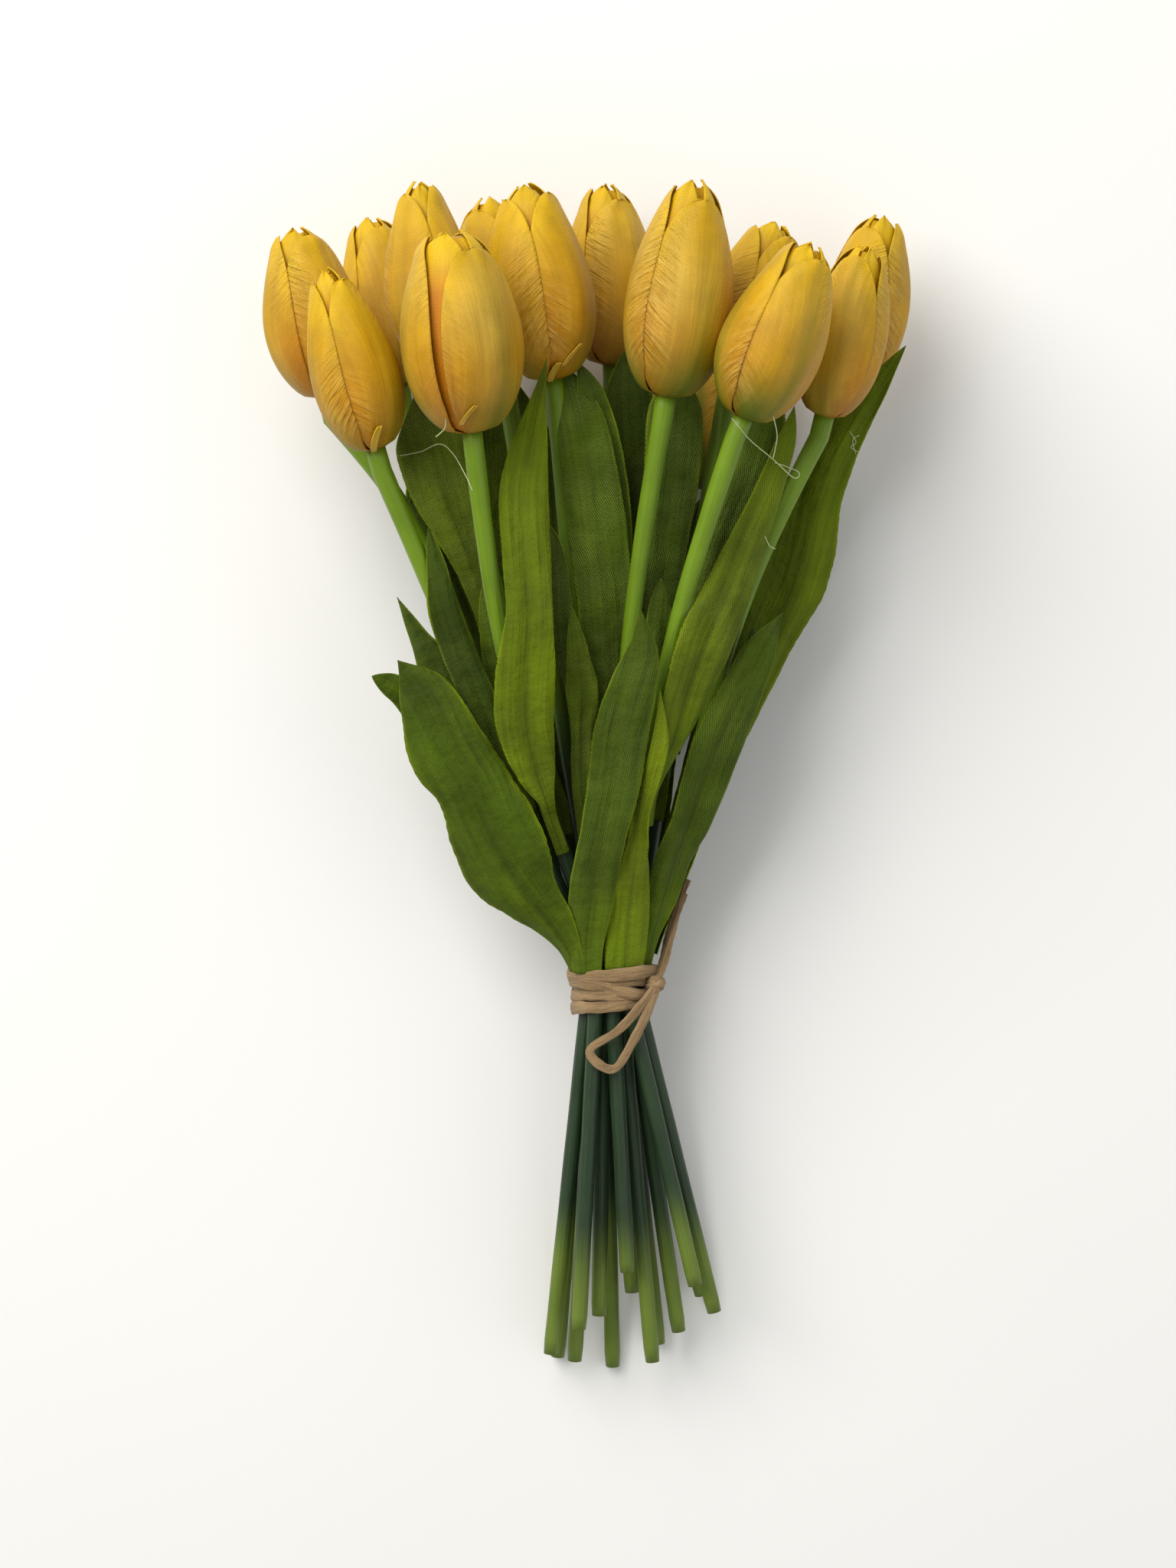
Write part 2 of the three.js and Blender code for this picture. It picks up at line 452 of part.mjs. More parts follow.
// A point of a leaf: u along it, v from -1 to 1 across it, off its middle surface by `off`.
function leafPoint(leaf, rows, u, v, off) {
  const [x, y, z, width, turn] = spline(rows, u);
  const ahead = vec(spline(rows, Math.min(u + 0.01, 1)));
  const behind = vec(spline(rows, Math.max(u - 0.01, 0)));
  const along = ahead.sub(behind).normalize();
  const face = outward(turn).addScaledVector(along, -outward(turn).dot(along)).normalize();
  const side = new THREE.Vector3().crossVectors(along, face);
  const phase = 2 * Math.PI * (leaf.waves ?? 0) * u + (v > 0 ? 0 : EDGE_LAG);
  const edge = 1 + (leaf.edge ?? 0) * Math.sin(phase) * Math.sin(Math.PI * u) * v * v;
  const half = (width / 2) * edge;
  const cup = mix(CUP.clasp, CUP.blade, Math.min(u / CUP.reach, 1)) * half * v * v;
  const ripple = (leaf.wave ?? 0) * Math.sin(Math.PI * u) * Math.cos(phase) * v * v;
  return new THREE.Vector3(x, y, z).addScaledVector(side, half * v)
    .addScaledVector(face, off - cup + ripple);
}

function leafBody(leaf) {
  const rows = leafRows(leaf);
  const [steps, cols] = leaf.wide ? LEAF_GRID.wide : LEAF_GRID.plain;
  const grid = (off) => Array.from({ length: steps + 1 }, (_, i) => (
    Array.from({ length: cols + 1 }, (_unused, j) => (
      leafPoint(leaf, rows, i / steps, (2 * j) / cols - 1, off)))));
  return solid(blade(grid(LEAF_THICK / 2), grid(-LEAF_THICK / 2)));
}

// --- Raffia tie ---------------------------------------------------------------------------
// How far the tied stems reach from the middle of the tie in a direction.
function bundleReach(angle) {
  const [dx, dz] = [Math.cos(angle), Math.sin(angle)];
  return Math.max(...seats.map(([x, z]) => x * dx + z * dz)) + STEM_RADIUS + 2 * GAP;
}

// The inner wall of the band: the outline of the bundle, rounded over its corners.
function bandInner(angle) {
  let reach = Infinity;
  for (let k = -BAND.round; k <= BAND.round; k += 1) {
    const turn = (k * Math.PI) / BAND.steps;
    reach = Math.min(reach, bundleReach(angle + turn) / Math.cos(turn));
  }
  return reach;
}

function raffiaBand(grow) {
  const { steps } = BAND;
  const across = BAND.strands * 2;
  const height = BAND.height + 2 * grow;
  const points = [];
  for (let i = 0; i < steps; i += 1) {
    const angle = (2 * Math.PI * i) / steps;
    const shift = BAND.slant * Math.sin(angle);
    const ring = (depth, y) => {
      const flare = y > 0 ? BAND.flare * y : -BAND.foot * y;
      const radius = bandInner(angle) + flare + depth;
      points.push(new THREE.Vector3(radius * Math.cos(angle), y + shift,
        TIE_HEIGHT + radius * Math.sin(angle)));
    };
    ring(0, -height / 2);
    for (let j = 0; j <= across; j += 1) {
      ring(BAND.thick + grow - (j % 2 ? 0 : BAND.groove), height * (j / across - 0.5));
    }
    ring(0, height / 2);
    ring(0, 0);
  }
  const size = across + 4;
  const faces = [];
  for (let i = 0; i < steps; i += 1) {
    const next = (i + 1) % steps;
    for (let j = 0; j < size; j += 1) {
      const k = (j + 1) % size;
      const [a, b, c, d] = [i * size + j, i * size + k, next * size + k, next * size + j];
      faces.push([a, b, c], [a, c, d]);
    }
  }
  return solid({ points, faces });
}

function raffiaStrand(path) {
  const count = path.length;
  const rings = path.map((p, i) => {
    const before = vec(path[Math.max(i - 1, 0)]);
    const along = vec(path[Math.min(i + 1, count - 1)]).sub(before).normalize();
    const up = new THREE.Vector3(0, 0, 1).addScaledVector(along, -along.z).normalize();
    const side = new THREE.Vector3().crossVectors(along, up);
    const corner = (x, y) => vec(p).addScaledVector(side, x * RAFFIA.width / 2)
      .addScaledVector(up, y * RAFFIA.thick / 2);
    return [corner(1, -1), corner(1, 1), corner(-1, 1), corner(-1, -1)];
  });
  return solid(tube(rings));
}

function raffiaKnot() {
  const [x, y, z] = KNOT.at;
  const levels = [-0.9, -0.45, 0.15, 0.6, 0.95];
  const ball = tube(levels.map((h) => Array.from({ length: 8 }, (_, k) => {
    const wide = KNOT.radius * Math.sqrt(1 - h * h);
    const angle = (k / 8) * 2 * Math.PI;
    return new THREE.Vector3(x + wide * Math.cos(angle), y + wide * Math.sin(angle) * 1.2,
      z + KNOT.radius * h);
  })));
  return Manifold.union([solid(ball), ...[LOOP, ...TAILS].map(raffiaStrand)]);
}

// --- The bunch ----------------------------------------------------------------------------
const numbered = (word, i) => `${word}_${String(i + 1).padStart(2, '0')}`;

BLOOMS.forEach((bloom, i) => {
  addPiece(numbered('bloom', i), bloomBody(bloom, i), COLOURS.petal, 0.6);
  addPiece(numbered('stem', i), stemBody(i), COLOURS.stem, 0.45);
});
LEAVES.forEach((leaf) => addPiece(leaf.name, leafBody(leaf), COLOURS.leaf, 0.75));
const knot = largest(raffiaKnot().subtract(raffiaBand(GAP)));
addPiece('raffia_band', raffiaBand(0), COLOURS.raffia, 0.8);
addPiece('raffia_knot', knot, COLOURS.raffia, 0.8);

bunch.updateMatrixWorld(true);
const box = new THREE.Box3().setFromObject(bunch);
const centre = box.getCenter(new THREE.Vector3());
bunch.position.set(-centre.x, -centre.y, -box.min.z);

export default bunch;
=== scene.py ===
"""Fourteen yellow tulips of fabric and plastic, tied with raffia and lying on a pale surface.

Sizes are in millimetres, and places are measured from the middle of the tie: x across, y along
towards the blooms, z up from the surface."""
import math
from collections import namedtuple

import bpy
import numpy as np
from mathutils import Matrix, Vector
from mathutils.bvhtree import BVHTree


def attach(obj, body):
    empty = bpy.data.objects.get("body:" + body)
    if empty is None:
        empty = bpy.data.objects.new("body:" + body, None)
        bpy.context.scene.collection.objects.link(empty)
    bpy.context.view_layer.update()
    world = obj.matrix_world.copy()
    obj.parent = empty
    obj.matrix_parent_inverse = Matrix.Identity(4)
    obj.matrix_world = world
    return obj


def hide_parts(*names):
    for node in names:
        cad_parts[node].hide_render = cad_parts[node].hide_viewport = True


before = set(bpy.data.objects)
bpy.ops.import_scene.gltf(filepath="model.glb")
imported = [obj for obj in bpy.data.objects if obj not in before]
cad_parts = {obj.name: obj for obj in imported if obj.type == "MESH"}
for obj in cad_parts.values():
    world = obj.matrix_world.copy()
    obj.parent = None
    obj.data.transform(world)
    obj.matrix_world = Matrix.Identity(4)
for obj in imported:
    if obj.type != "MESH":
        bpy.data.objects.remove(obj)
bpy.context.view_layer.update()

ORIGIN = np.array([6.51, -61.68, 0.03])  # the middle of the tie in the row frame
MM = 0.001
SETTLE = 0.6  # below this height a piece is pressed flat on the surface, its layers kept in order

# --- Sizes shared with the solids ---------------------------------------------------------
STEM_RADIUS = 2.3
STEM_TOP = (2.9, 70.0)  # radius under the bloom, and the length over which it swells
SEAT_PITCH = 4.9
SEAT_ROWS = [(3, 1.5), (4, 0.5), (3, -0.5), (4, -1.5)]
TIE_HEIGHT = 26.0
NECK = 6.0
GAP = 0.3
FAN_LENGTH, FAN_UP, FAN_DROP = 110.0, 1.0, 10.67
HELD = 4.0
PROFILE = (0.064, 0.834, 0.77, 0.75)
CLASP_STANDOFF, CLASP_LENGTH = 3.7, 10.0

# --- Sizes of the scene's own detail ------------------------------------------------------
PETAL_SHEET, LIP_SHEET, LEAF_SHEET = 0.26, 0.3, 0.36  # thickness of the cloth
THREAD_RADIUS, THREAD_LIFT, THREAD_SLOPE = 0.15, 0.2, 0.9
ABOVE_ALL = 150  # a height above the whole bunch

# base, tip, largest radius, angle of the front seam, pointedness, bow of the stem and how high up
# it the bow is (all as in the solids), then how pale the fabric is (0 golden to 1 peach; the peach
# is partly the cloth's own paler colour and partly a painted satin highlight), the gap at the front
# seam in degrees, and how green its foot is
Bloom = namedtuple("Bloom", "base tip radius seam point bow lean pale gap green")
BLOOMS = [Bloom(*row) for row in (
    ((-83, 173, 46), (-92, 221.5, 54), 14.5, -20, 0.1, 9.5, 2.5, 0.3, 0, 0.35),
    ((-67.6, 155.4, 72), (-81.3, 205.6, 84), 13.5, -16, 0.3, 0, 1, 0.0, 0, 0.55),
    ((-63.8, 180, 12.5), (-72.6, 230.5, 14.6), 13.8, -35, 0.1, 0, 1, 0.5, 0, 0.4),
    ((-50, 181, 52), (-56.4, 234, 60), 13.8, 15, 0.25, 0, 1, 0.5, 0, 0.3),
    ((-40, 159.6, 78), (-46, 215.1, 92), 17.3, -27, 0, -7.2, 1, 1.0, 6, 0.8),
    ((-17.3, 177, 54), (-25.5, 232.8, 62), 15.7, 0, 0.1, 0, 1, 0.1, 0, 0.4),
    ((-31.8, 181.8, 26), (-37, 233.8, 32), 14, 30, 0.1, 0, 1, 0.3, 0, 0.3),
    ((0, 184.8, 24), (-1.8, 238, 30), 15, -35, 0.2, 0, 1, 0.9, 0, 0.3),
    ((14.8, 170.4, 70), (23.2, 231, 82), 16.2, -37, 0.2, -5, 1, 0.85, 0, 1.0),
    ((34.6, 177.8, 42), (47.6, 223.6, 50), 14.5, -10, 0.1, 0, 1, 0.3, 0, 0.3),
    ((36.4, 163.5, 80), (55.7, 211.3, 92), 14.8, -27, 0.12, -7, 1, 0.45, 0, 1.2),
    ((61, 166.5, 54), (72.7, 214.9, 64), 12.4, 43, 0.1, -6, 1.6, 0.7, 0, 0.5),
    ((70.3, 177.2, 22), (79.7, 228.9, 30), 13, 25, 0.05, -7.5, 1.3, 0.3, 0, 0.3),
    ((31.8, 147.5, 12.3), (33.2, 201, 15.3), 14, 20, 0.1, 0, 1, 0.2, 0, 2.4),
)]
# index of the bloom, angle round it, and the start, length and half width of each lip of cloth at
# its foot; start and length are shares of the bloom's length
SCRAPS = [
    (4, -14, 0.07, 0.1, 1.1), (5, 20, 0.07, 0.1, 1.1), (5, -10, 0.0, 0.09, 2.4), (1, -6, 0.0, 0.14, 2.2)]
# x and y of the lower end of each stem
STEM_ENDS = [
    (-18.4, -109.6), (-10, -101), (-16.5, -113), (-11.3, -113), (4.4, -84), (-4, -98),
    (0.2, -116), (6, -92), (12, -112), (20, -104), (24.5, -88), (30.4, -97), (27, -94), (14, -109),
]

# name, stem that it clasps, where, the way it faces there, its width there, ripple, number of
# ripples, scallop, tone (0 dark to 1 light), weave (0 smooth to 1 coarse), and its path as rows of
# x, y, z, width, turn. The leaves with no stem start under the raffia, and their path says how.
LEAVES = [
    ("leaf_left_broad", None, 0, 0, 0, 1.4, 2.5, 0.08, 0.5, 0.14, [
        (-10.5, 5, 34.5, 6, -40), (-13.2, 12, 37.8, 9, -35), (-18, 19.5, 42, 14, -25),
        (-23.5, 26.5, 46, 18.5, -14), (-29.5, 35, 50, 26, -15), (-36, 47, 53.5, 26.5, -15),
        (-41, 59, 56.5, 23, -13), (-47, 69.5, 58.5, 24, -12), (-52, 81, 60, 19, -10),
        (-57, 89.5, 60, 13, -10), (-62, 96, 60, 5, -10)]),
    ("leaf_left_rolled", 0, 37, -115, 7, 0, 0, 0, 0.4, 0.2, [
        (-40, 58, 32.5, 11, -32), (-51, 74, 37, 13, -22), (-61, 86.5, 41, 9, -20),
        (-70.5, 92, 42, 5, -20)]),
    ("leaf_left_twisted", 0, 22, 0, 7, 0, 0, 0, 0.4, 0.6, [
        (-30, 52, 40, 12, -5), (-41, 75, 44, 15, -8), (-50, 92, 48, 13, -10), (-56.5, 103, 50, 6, -20),
        (-62.5, 114.5, 52, 2.5, -40)]),
    ("leaf_left_dark", 2, 30, 0, 7, 0, 0, 0, 0.2, 0.3, [
        (-27, 55, 25, 12, 0), (-35.5, 80, 27, 13, 0), (-44, 102, 28, 12, 5), (-51, 122, 29, 10, 5),
        (-56.5, 140, 30, 7, 5), (-59, 154, 30, 3, 5)]),
    ("leaf_left_woven", 3, 70, 0, 7, 0.8, 1.5, 0, 0.75, 1.0, [
        (-31.5, 95, 44.5, 9, 10), (-36, 110, 49.5, 8, 12), (-40, 122, 51.5, 10, 12),
        (-44.3, 134, 53.5, 15, 12), (-49, 147, 56, 20, 10), (-53, 160, 58, 20, 8), (-57, 173, 59, 8, 8)]),
    ("leaf_left_inner", 3, 45, 32, 7, 0, 0, 0, 0.6, 0.6, [
        (-21.5, 66, 44.5, 11, 15), (-27.5, 81, 48.5, 11, 15), (-32.5, 96, 52, 10, 15),
        (-35.3, 109, 55, 7, 10), (-37, 121, 57, 3, 10)]),
    ("leaf_left_curl", 1, 52, 0, 7, 0, 0, 0, 0.2, 0.3, [
        (-34.5, 75, 54.8, 9, 0), (-40, 88, 58.6, 10, 0), (-45, 100, 62, 10, 0), (-48.6, 111, 65, 9, 0),
        (-50.5, 122, 67, 6, 5), (-53, 134, 66, 3, 10)]),
    ("leaf_front_long", 4, 40, 0, 4, 0.9, 2, 0, 0.78, 0.12, [
        (-19.4, 55.5, 55.5, 5.5, 0), (-22.4, 64.5, 58.5, 12, 0), (-25.3, 78, 63, 17, 5),
        (-25, 93, 67.5, 17, 5), (-24, 109, 71, 13.5, 0),
        (-24.8, 126, 72.5, 14, 0), (-25.5, 144, 71.5, 14, 0), (-23, 162, 69, 9, 0), (-19, 182, 68, 3, 0)]),
    ("leaf_centre_woven", 5, 62, 20, 7, 0.8, 1.5, 0, 0.5, 1.0, [
        (-1.5, 84, 45, 11, 8), (-1.8, 100, 48.5, 14.5, 6), (-2.5, 115, 51.5, 16, 4),
        (-4.5, 134, 54, 17, 0), (-7, 152, 56, 16, 0), (-9.5, 166, 56, 14, 0), (-13.5, 181, 54, 9, 0)]),
    ("leaf_centre_frayed", 5, 78, -75, 7, 0, 0, 0, 0.25, 0.9, [
        (-15.8, 103, 48.5, 9, -10), (-16.5, 116, 51, 9, 0), (-17.8, 127, 53, 7.5, 0),
        (-20, 137, 54, 3, 0)]),
    ("leaf_front_centre", None, 0, 0, 0, 0.8, 2, 0, 0.42, 0.35, [
        (-7.6, 4.5, 36.8, 8.5, -10), (-7.8, 14, 40.5, 10.5, -10), (-6.8, 24, 45.5, 13, -6),
        (-5.5, 33, 49.8, 13.5, 0), (-2.8, 46, 55.5, 13.5, -3), (0, 60, 60.5, 15.5, -5),
        (2, 75, 65, 16, -7), (5.5, 88, 68.5, 13.5, -8), (8.2, 99, 70, 9, -5), (7.4, 111.5, 71, 2.2, 0)]),
    ("leaf_centre_small", 5, 30, -10, 7, 0, 0, 0, 0.65, 0.6, [
        (-9, 58, 46, 6, -5), (-9.2, 73, 50, 6.5, -5), (-8.9, 87, 53, 9.5, -8), (-10.2, 97, 55, 7, -10),
        (-12, 112, 57, 3, -20)]),
    ("leaf_front_pale", None, 0, 0, 0, 0, 0, 0, 1.0, 0.3, [
        (3.2, 4.5, 36.4, 11, 5), (3.9, 14, 40.3, 12.5, 3), (4.8, 24, 44.5, 11.8, 0),
        (5.8, 33, 48, 9.5, 0), (6.9, 42, 51.5, 6.5, 0), (7.9, 51, 55, 4.8, 0), (10.8, 62, 60, 5.4, 0),
        (13.5, 73, 63, 5, 0), (13.3, 88, 66, 2, 0)]),
    ("leaf_right_long", 10, 48, 50, 7, 0.7, 2, 0, 0.8, 0.35, [
        (17.8, 74, 56.5, 12, 35), (21.8, 88, 60, 16, 27), (26.5, 101, 65.5, 16.5, 20),
        (32.3, 114, 65.5, 14, 18), (38, 128, 62, 12, 20), (44.3, 143, 62, 9, 15), (49.8, 159, 61, 6, 10),
        (52, 169, 61, 3, 10)]),
    ("leaf_right_outer", None, 0, 0, 0, 0.6, 1.5, 0, 0.5, 0.4, [
        (9.4, 4.5, 31.5, 5.5, 50), (11, 13, 34, 7, 45), (13, 21, 37, 8.5, 38), (15.7, 30, 40, 10.5, 30),
        (19, 40, 43, 12, 28), (23, 50, 45.5, 13.5, 28), (30, 70, 50, 15.5, 25), (37, 86, 53, 13, 22),
        (42.7, 99, 54.5, 10.5, 22), (49, 110, 55, 4, 20)]),
    ("leaf_right_rolled", 11, 35, 60, 7, 0, 0, 0, 0.4, 0.4, [
        (30.5, 62, 34, 10, 60), (37, 80, 38, 11, 55), (40, 95, 44, 8, 40), (40.5, 106, 49.5, 4, 20)]),
    ("leaf_right_broad", 12, 40, 0, 7, 1.4, 2, 0.05, 0.75, 0.15, [
        (31, 72, 28, 13, 0), (39.5, 91, 31, 16, 0), (47, 106, 33, 17, 3), (53, 119, 35, 20, 5),
        (56.5, 131, 36, 19, 5), (59.5, 144, 36.5, 15.5, 5), (65, 158, 37, 14, 3), (73, 171, 37, 10, 0),
        (80, 181, 38, 6, -10), (86, 189, 39, 4, -10)]),
    ("leaf_middle_woven", 9, 50, -20, 7, 0, 0, 0, 0.45, 0.8, [
        (11.5, 80, 38, 11, 0), (12.5, 102, 42, 12, 5), (14.5, 125, 45, 13, 5), (17, 148, 48, 16, 5),
        (18, 168, 49, 16, 0), (18.5, 182, 49, 8, 0)]),
    ("leaf_middle_dark", 7, 60, 0, 7, 0, 0, 0, 0.2, 0.5, [
        (1.5, 85, 31, 12, 0), (3.5, 108, 34, 15, 0), (5, 130, 36, 17, 0), (5.5, 152, 38, 17, 0),
        (4.5, 172, 40, 15, 0), (4, 188, 41, 8, 0)]),
    ("leaf_middle_twisted", 5, 88, 75, 7, 0, 0, 0, 0.35, 0.6, [
        (0, 112, 45.5, 8, 5), (1.5, 127, 48, 9, 5), (0.5, 142, 50.5, 9, 5), (-2, 158, 53, 9, 5),
        (-6, 172, 55, 8, 8), (-10, 182, 56, 5, 10)]),
    ("leaf_low_bloom", 13, 70, 10, 7, 0, 0, 0, 0.25, 0.5, [
        (20, 95, 24, 14, 0), (24, 116, 27, 18, 0), (29, 134, 29.5, 18, 0), (40, 150, 32.5, 13, 0),
        (47, 166, 34, 6, 0)]),
    ("leaf_right_frayed", 9, 75, 60, 7, 0.4, 2, 0, 0.5, 1.0, [
        (23.5, 98, 44.5, 12, 5), (26, 113, 50, 13, 5), (29.5, 126, 54, 14, 5), (35, 140, 57, 14.5, 5),
        (40, 153, 58, 15, 5), (43, 166, 58, 14, 5), (46, 180, 56, 8, 5)]),
    ("leaf_middle_curl", 8, 60, 70, 7, 0, 0, 0, 0.35, 0.6, [
        (9.5, 80, 49, 8, 40), (12, 96, 52, 8, 30), (13.5, 110, 54, 7, 10), (14, 120, 54, 3, 0)]),
    ("leaf_back_left", 2, 12, 205, 7, 0, 0, 0, 0.4, 0.3, [
        (-22, 40, 10.5, 15, 190), (-31, 62, 7.5, 17, 190), (-41, 82, 5.5, 15, 190),
        (-48, 98, 5, 10, 190), (-53, 110, 5, 3, 190)]),
    ("leaf_back_middle", 6, 20, 180, 7, 0, 0, 0, 0.4, 0.5, [
        (-11, 40, 13, 14, 180), (-17, 66, 12, 19, 180), (-22, 92, 10, 22, 180),
        (-27, 118, 9.5, 24, 180), (-29, 142, 10, 26, 180), (-30, 164, 10, 24, 180),
        (-31, 184, 9, 12, 180)]),
    ("leaf_back_low", 13, 16, 180, 7, 0, 0, 0, 0.5, 0.3, [
        (10, 42, 9.5, 12, 180), (12, 66, 8, 14, 180), (14, 90, 6.5, 15, 178), (17.5, 112, 5.5, 12, 178),
        (21, 130, 5, 4, 178)]),
    ("leaf_back_right", 12, 10, 140, 7, 0, 0, 0, 0.4, 0.4, [
        (19, 36, 15.5, 10, 165), (26.5, 60, 14.5, 13, 165), (34, 84, 12, 15, 165), (42, 106, 10, 12, 165),
        (48, 122, 8, 4, 165)]),
    ("leaf_back_inner", 7, 30, 180, 7, 0, 0, 0, 0.25, 0.6, [
        (1, 55, 17.5, 12, 180), (1, 80, 15.5, 15, 180), (0, 104, 14, 15, 180), (-2, 128, 13, 12, 180),
        (-5, 150, 13, 3, 180)]),
    ("leaf_back_outer", 12, 80, 150, 7, 0, 0, 0, 0.45, 0.5, [
        (41, 104, 15, 12, 150), (47.5, 126, 13, 13, 150), (54.5, 146, 11, 11, 150), (61, 162, 10, 3, 150)]),
    ("leaf_back_far", 2, 75, 185, 7, 0, 0, 0, 0.3, 0.4, [
        (-41, 98, 12, 14, 185), (-49, 120, 10.5, 15, 185), (-56, 140, 9, 12, 185),
        (-61, 157, 8, 3, 185)]),
]
# The leaves that get more points
WIDE_LEAVES = {"leaf_left_broad", "leaf_left_woven", "leaf_front_long", "leaf_centre_woven",
               "leaf_front_centre", "leaf_right_long", "leaf_right_broad", "leaf_right_outer"}

KNOT_AT = (12.6, 1.5, 33.5)
LOOP = [(12.4, 0.5, 36), (8, -5, 39), (1.5, -12, 38.4), (-6.5, -17.5, 37.4), (-4, -22, 37),
        (1, -23, 36.8), (6, -15, 38), (10, -7, 38.6), (13, 0.5, 35.6)]
TAILS = [
    [(13.4, 2, 33), (16.2, 10, 29.5), (18.4, 19, 28), (21.4, 28, 27.5)],
    [(13.4, 3, 31), (15.6, 12, 26), (18.4, 22, 25), (22.6, 32, 25)],
]

# --- Small tools --------------------------------------------------------------------------


def vary(n):
    """A repeatable spread of values from 0 to 1."""
    return (n * 0.618034) % 1


def mix(a, b, t):
    return a + (b - a) * t


def smooth(low, high, x):
    t = np.clip((x - low) / (high - low), 0, 1)
    return t * t * (3 - 2 * t)


def unit(v):
    return v / np.maximum(np.linalg.norm(v, axis=-1, keepdims=True), 1e-9)


def rgb(r, g, b):
    """An sRGB colour of 0 to 255 as linear numbers."""
    c = np.array([r, g, b]) / 255
    return np.where(c <= 0.04045, c / 12.92, ((c + 0.055) / 1.055) ** 2.4)


def blend_to(colour, other, share):
    return colour + (other - colour) * share[..., None]


def spline(rows, u):
    """A smooth value through evenly spaced rows (Catmull-Rom), u from 0 to 1."""
    rows = np.asarray(rows, float)
    last = len(rows) - 1
    span = np.minimum((u * last).astype(int), last - 1)
    t = (u * last - span)[:, None]
    a, b, c, d = (rows[np.clip(span + k, 0, last)] for k in (-1, 0, 1, 2))
    return 0.5 * (2 * b + (c - a) * t + (2 * a - 5 * b + 4 * c - d) * t**2
                  + (3 * b - a - 3 * c + d) * t**3)


def normals(grid):
    """The normal of each point of a grid, from its neighbours."""
    return unit(np.cross(np.gradient(grid, axis=1), np.gradient(grid, axis=0)))


def facing_out(points, faces):
    """The faces of one closed shell, all turned so that their normals point out of it."""
    centred, volume = points - points.mean(axis=0), 0
    for size in sorted({len(face) for face in faces}):
        ring = centred[np.array([face for face in faces if len(face) == size])]
        for k in range(1, size - 1):
            volume += np.sum(ring[:, 0] * np.cross(ring[:, k], ring[:, k + 1]))
    return faces if volume > 0 else [face[::-1] for face in faces]


SURFACES = []  # the points and faces of every piece, for what is laid on them


class Mesh:
    """Gathers grids into one mesh, with a colour, a fabric place and two numbers at each point."""

    def __init__(self):
        self.points, self.faces, self.data, self.count = [], [], [], 0

    def add(self, points, faces, tint, fabric, diagonal, fold):
        points = points.reshape(-1, 3)
        self.points.append(points)
        self.faces.extend((f + self.count).tolist() for f in facing_out(points, faces))
        self.data.append(np.column_stack([
            tint.reshape(-1, 3), fabric.reshape(-1, 2), diagonal.ravel(), fold.ravel()]))
        self.count += len(points)

    def add_sheet(self, outer, thick, tint, fabric, diagonal, fold):
        """A closed sheet: a grid and the same grid set back by its thickness."""
        inner = outer - normals(outer) * thick
        rows, cols = outer.shape[:2]
        i, j = np.meshgrid(np.arange(rows - 1), np.arange(cols - 1), indexing="ij")
        a = (i * cols + j).ravel()
        top = np.column_stack([a, a + cols, a + cols + 1, a + 1])
        under = rows * cols
        around = ([j for j in range(cols)] + [i * cols + cols - 1 for i in range(1, rows)]
                  + [(rows - 1) * cols + j for j in range(cols - 2, -1, -1)]
                  + [i * cols for i in range(rows - 2, 0, -1)])
        ring = np.array(around)
        after = np.roll(ring, -1)
        rim = np.column_stack([ring, after, after + under, ring + under])
        self.add(np.stack([outer, inner]), [*top, *(top[:, ::-1] + under), *rim],
                 np.stack([tint, tint]), np.stack([fabric, fabric]),
                 np.stack([diagonal, diagonal]), np.stack([fold, fold]))

    def add_tube(self, rings, tint, fabric, diagonal, fold, closed=False):
        """A tube through rings of points, with an end cap at each end unless it is closed."""
        count, sides = rings.shape[:2]
        i, j = np.meshgrid(np.arange(count if closed else count - 1), np.arange(sides), indexing="ij")
        k, n = (j + 1) % sides, (i + 1) % count
        faces = list(np.column_stack([(i * sides + j).ravel(), (i * sides + k).ravel(),
                                      (n * sides + k).ravel(), (n * sides + j).ravel()]))
        if not closed:
            faces += [np.arange(sides)[::-1], np.arange(sides) + (count - 1) * sides]
        self.add(rings, faces, tint, fabric, diagonal, fold)

    def finish(self, name, material, replaces=()):
        points = np.concatenate(self.points) + ORIGIN
        height = points[:, 2]
        pressed = SETTLE**2 / (2 * SETTLE - np.minimum(height, SETTLE))
        points[:, 2] = np.where(height < SETTLE, pressed, height)
        SURFACES.append(((points - ORIGIN).tolist(), self.faces))
        points = points * MM
        data = np.concatenate(self.data)
        mesh = bpy.data.meshes.new(name)
        mesh.from_pydata(points.tolist(), [], self.faces)
        corners = np.zeros(len(mesh.loops), int)
        mesh.loops.foreach_get("vertex_index", corners)
        uv = mesh.uv_layers.new(name="fabric")
        uv.uv.foreach_set("vector", data[corners, 3:5].astype(np.float32).ravel())
        tint = mesh.color_attributes.new("tint", "FLOAT_COLOR", "POINT")
        tint.data.foreach_set("color", np.column_stack(
            [np.clip(data[:, :3], 0, 1), np.ones(len(data))]).astype(np.float32).ravel())
        for column, label in ((5, "diagonal"), (6, "fold")):
            field = mesh.attributes.new(label, "FLOAT", "POINT")
            field.data.foreach_set("value", data[:, column].astype(np.float32))
        mesh.polygons.foreach_set("use_smooth", [True] * len(mesh.polygons))
        mesh.materials.append(material)
        mesh.validate()
        mesh.update()
        piece = bpy.data.objects.new(name, mesh)
        bpy.context.scene.collection.objects.link(piece)
        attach(piece, "root")
        if replaces:
            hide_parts(*replaces)
        return piece


# --- Materials ----------------------------------------------------------------------------


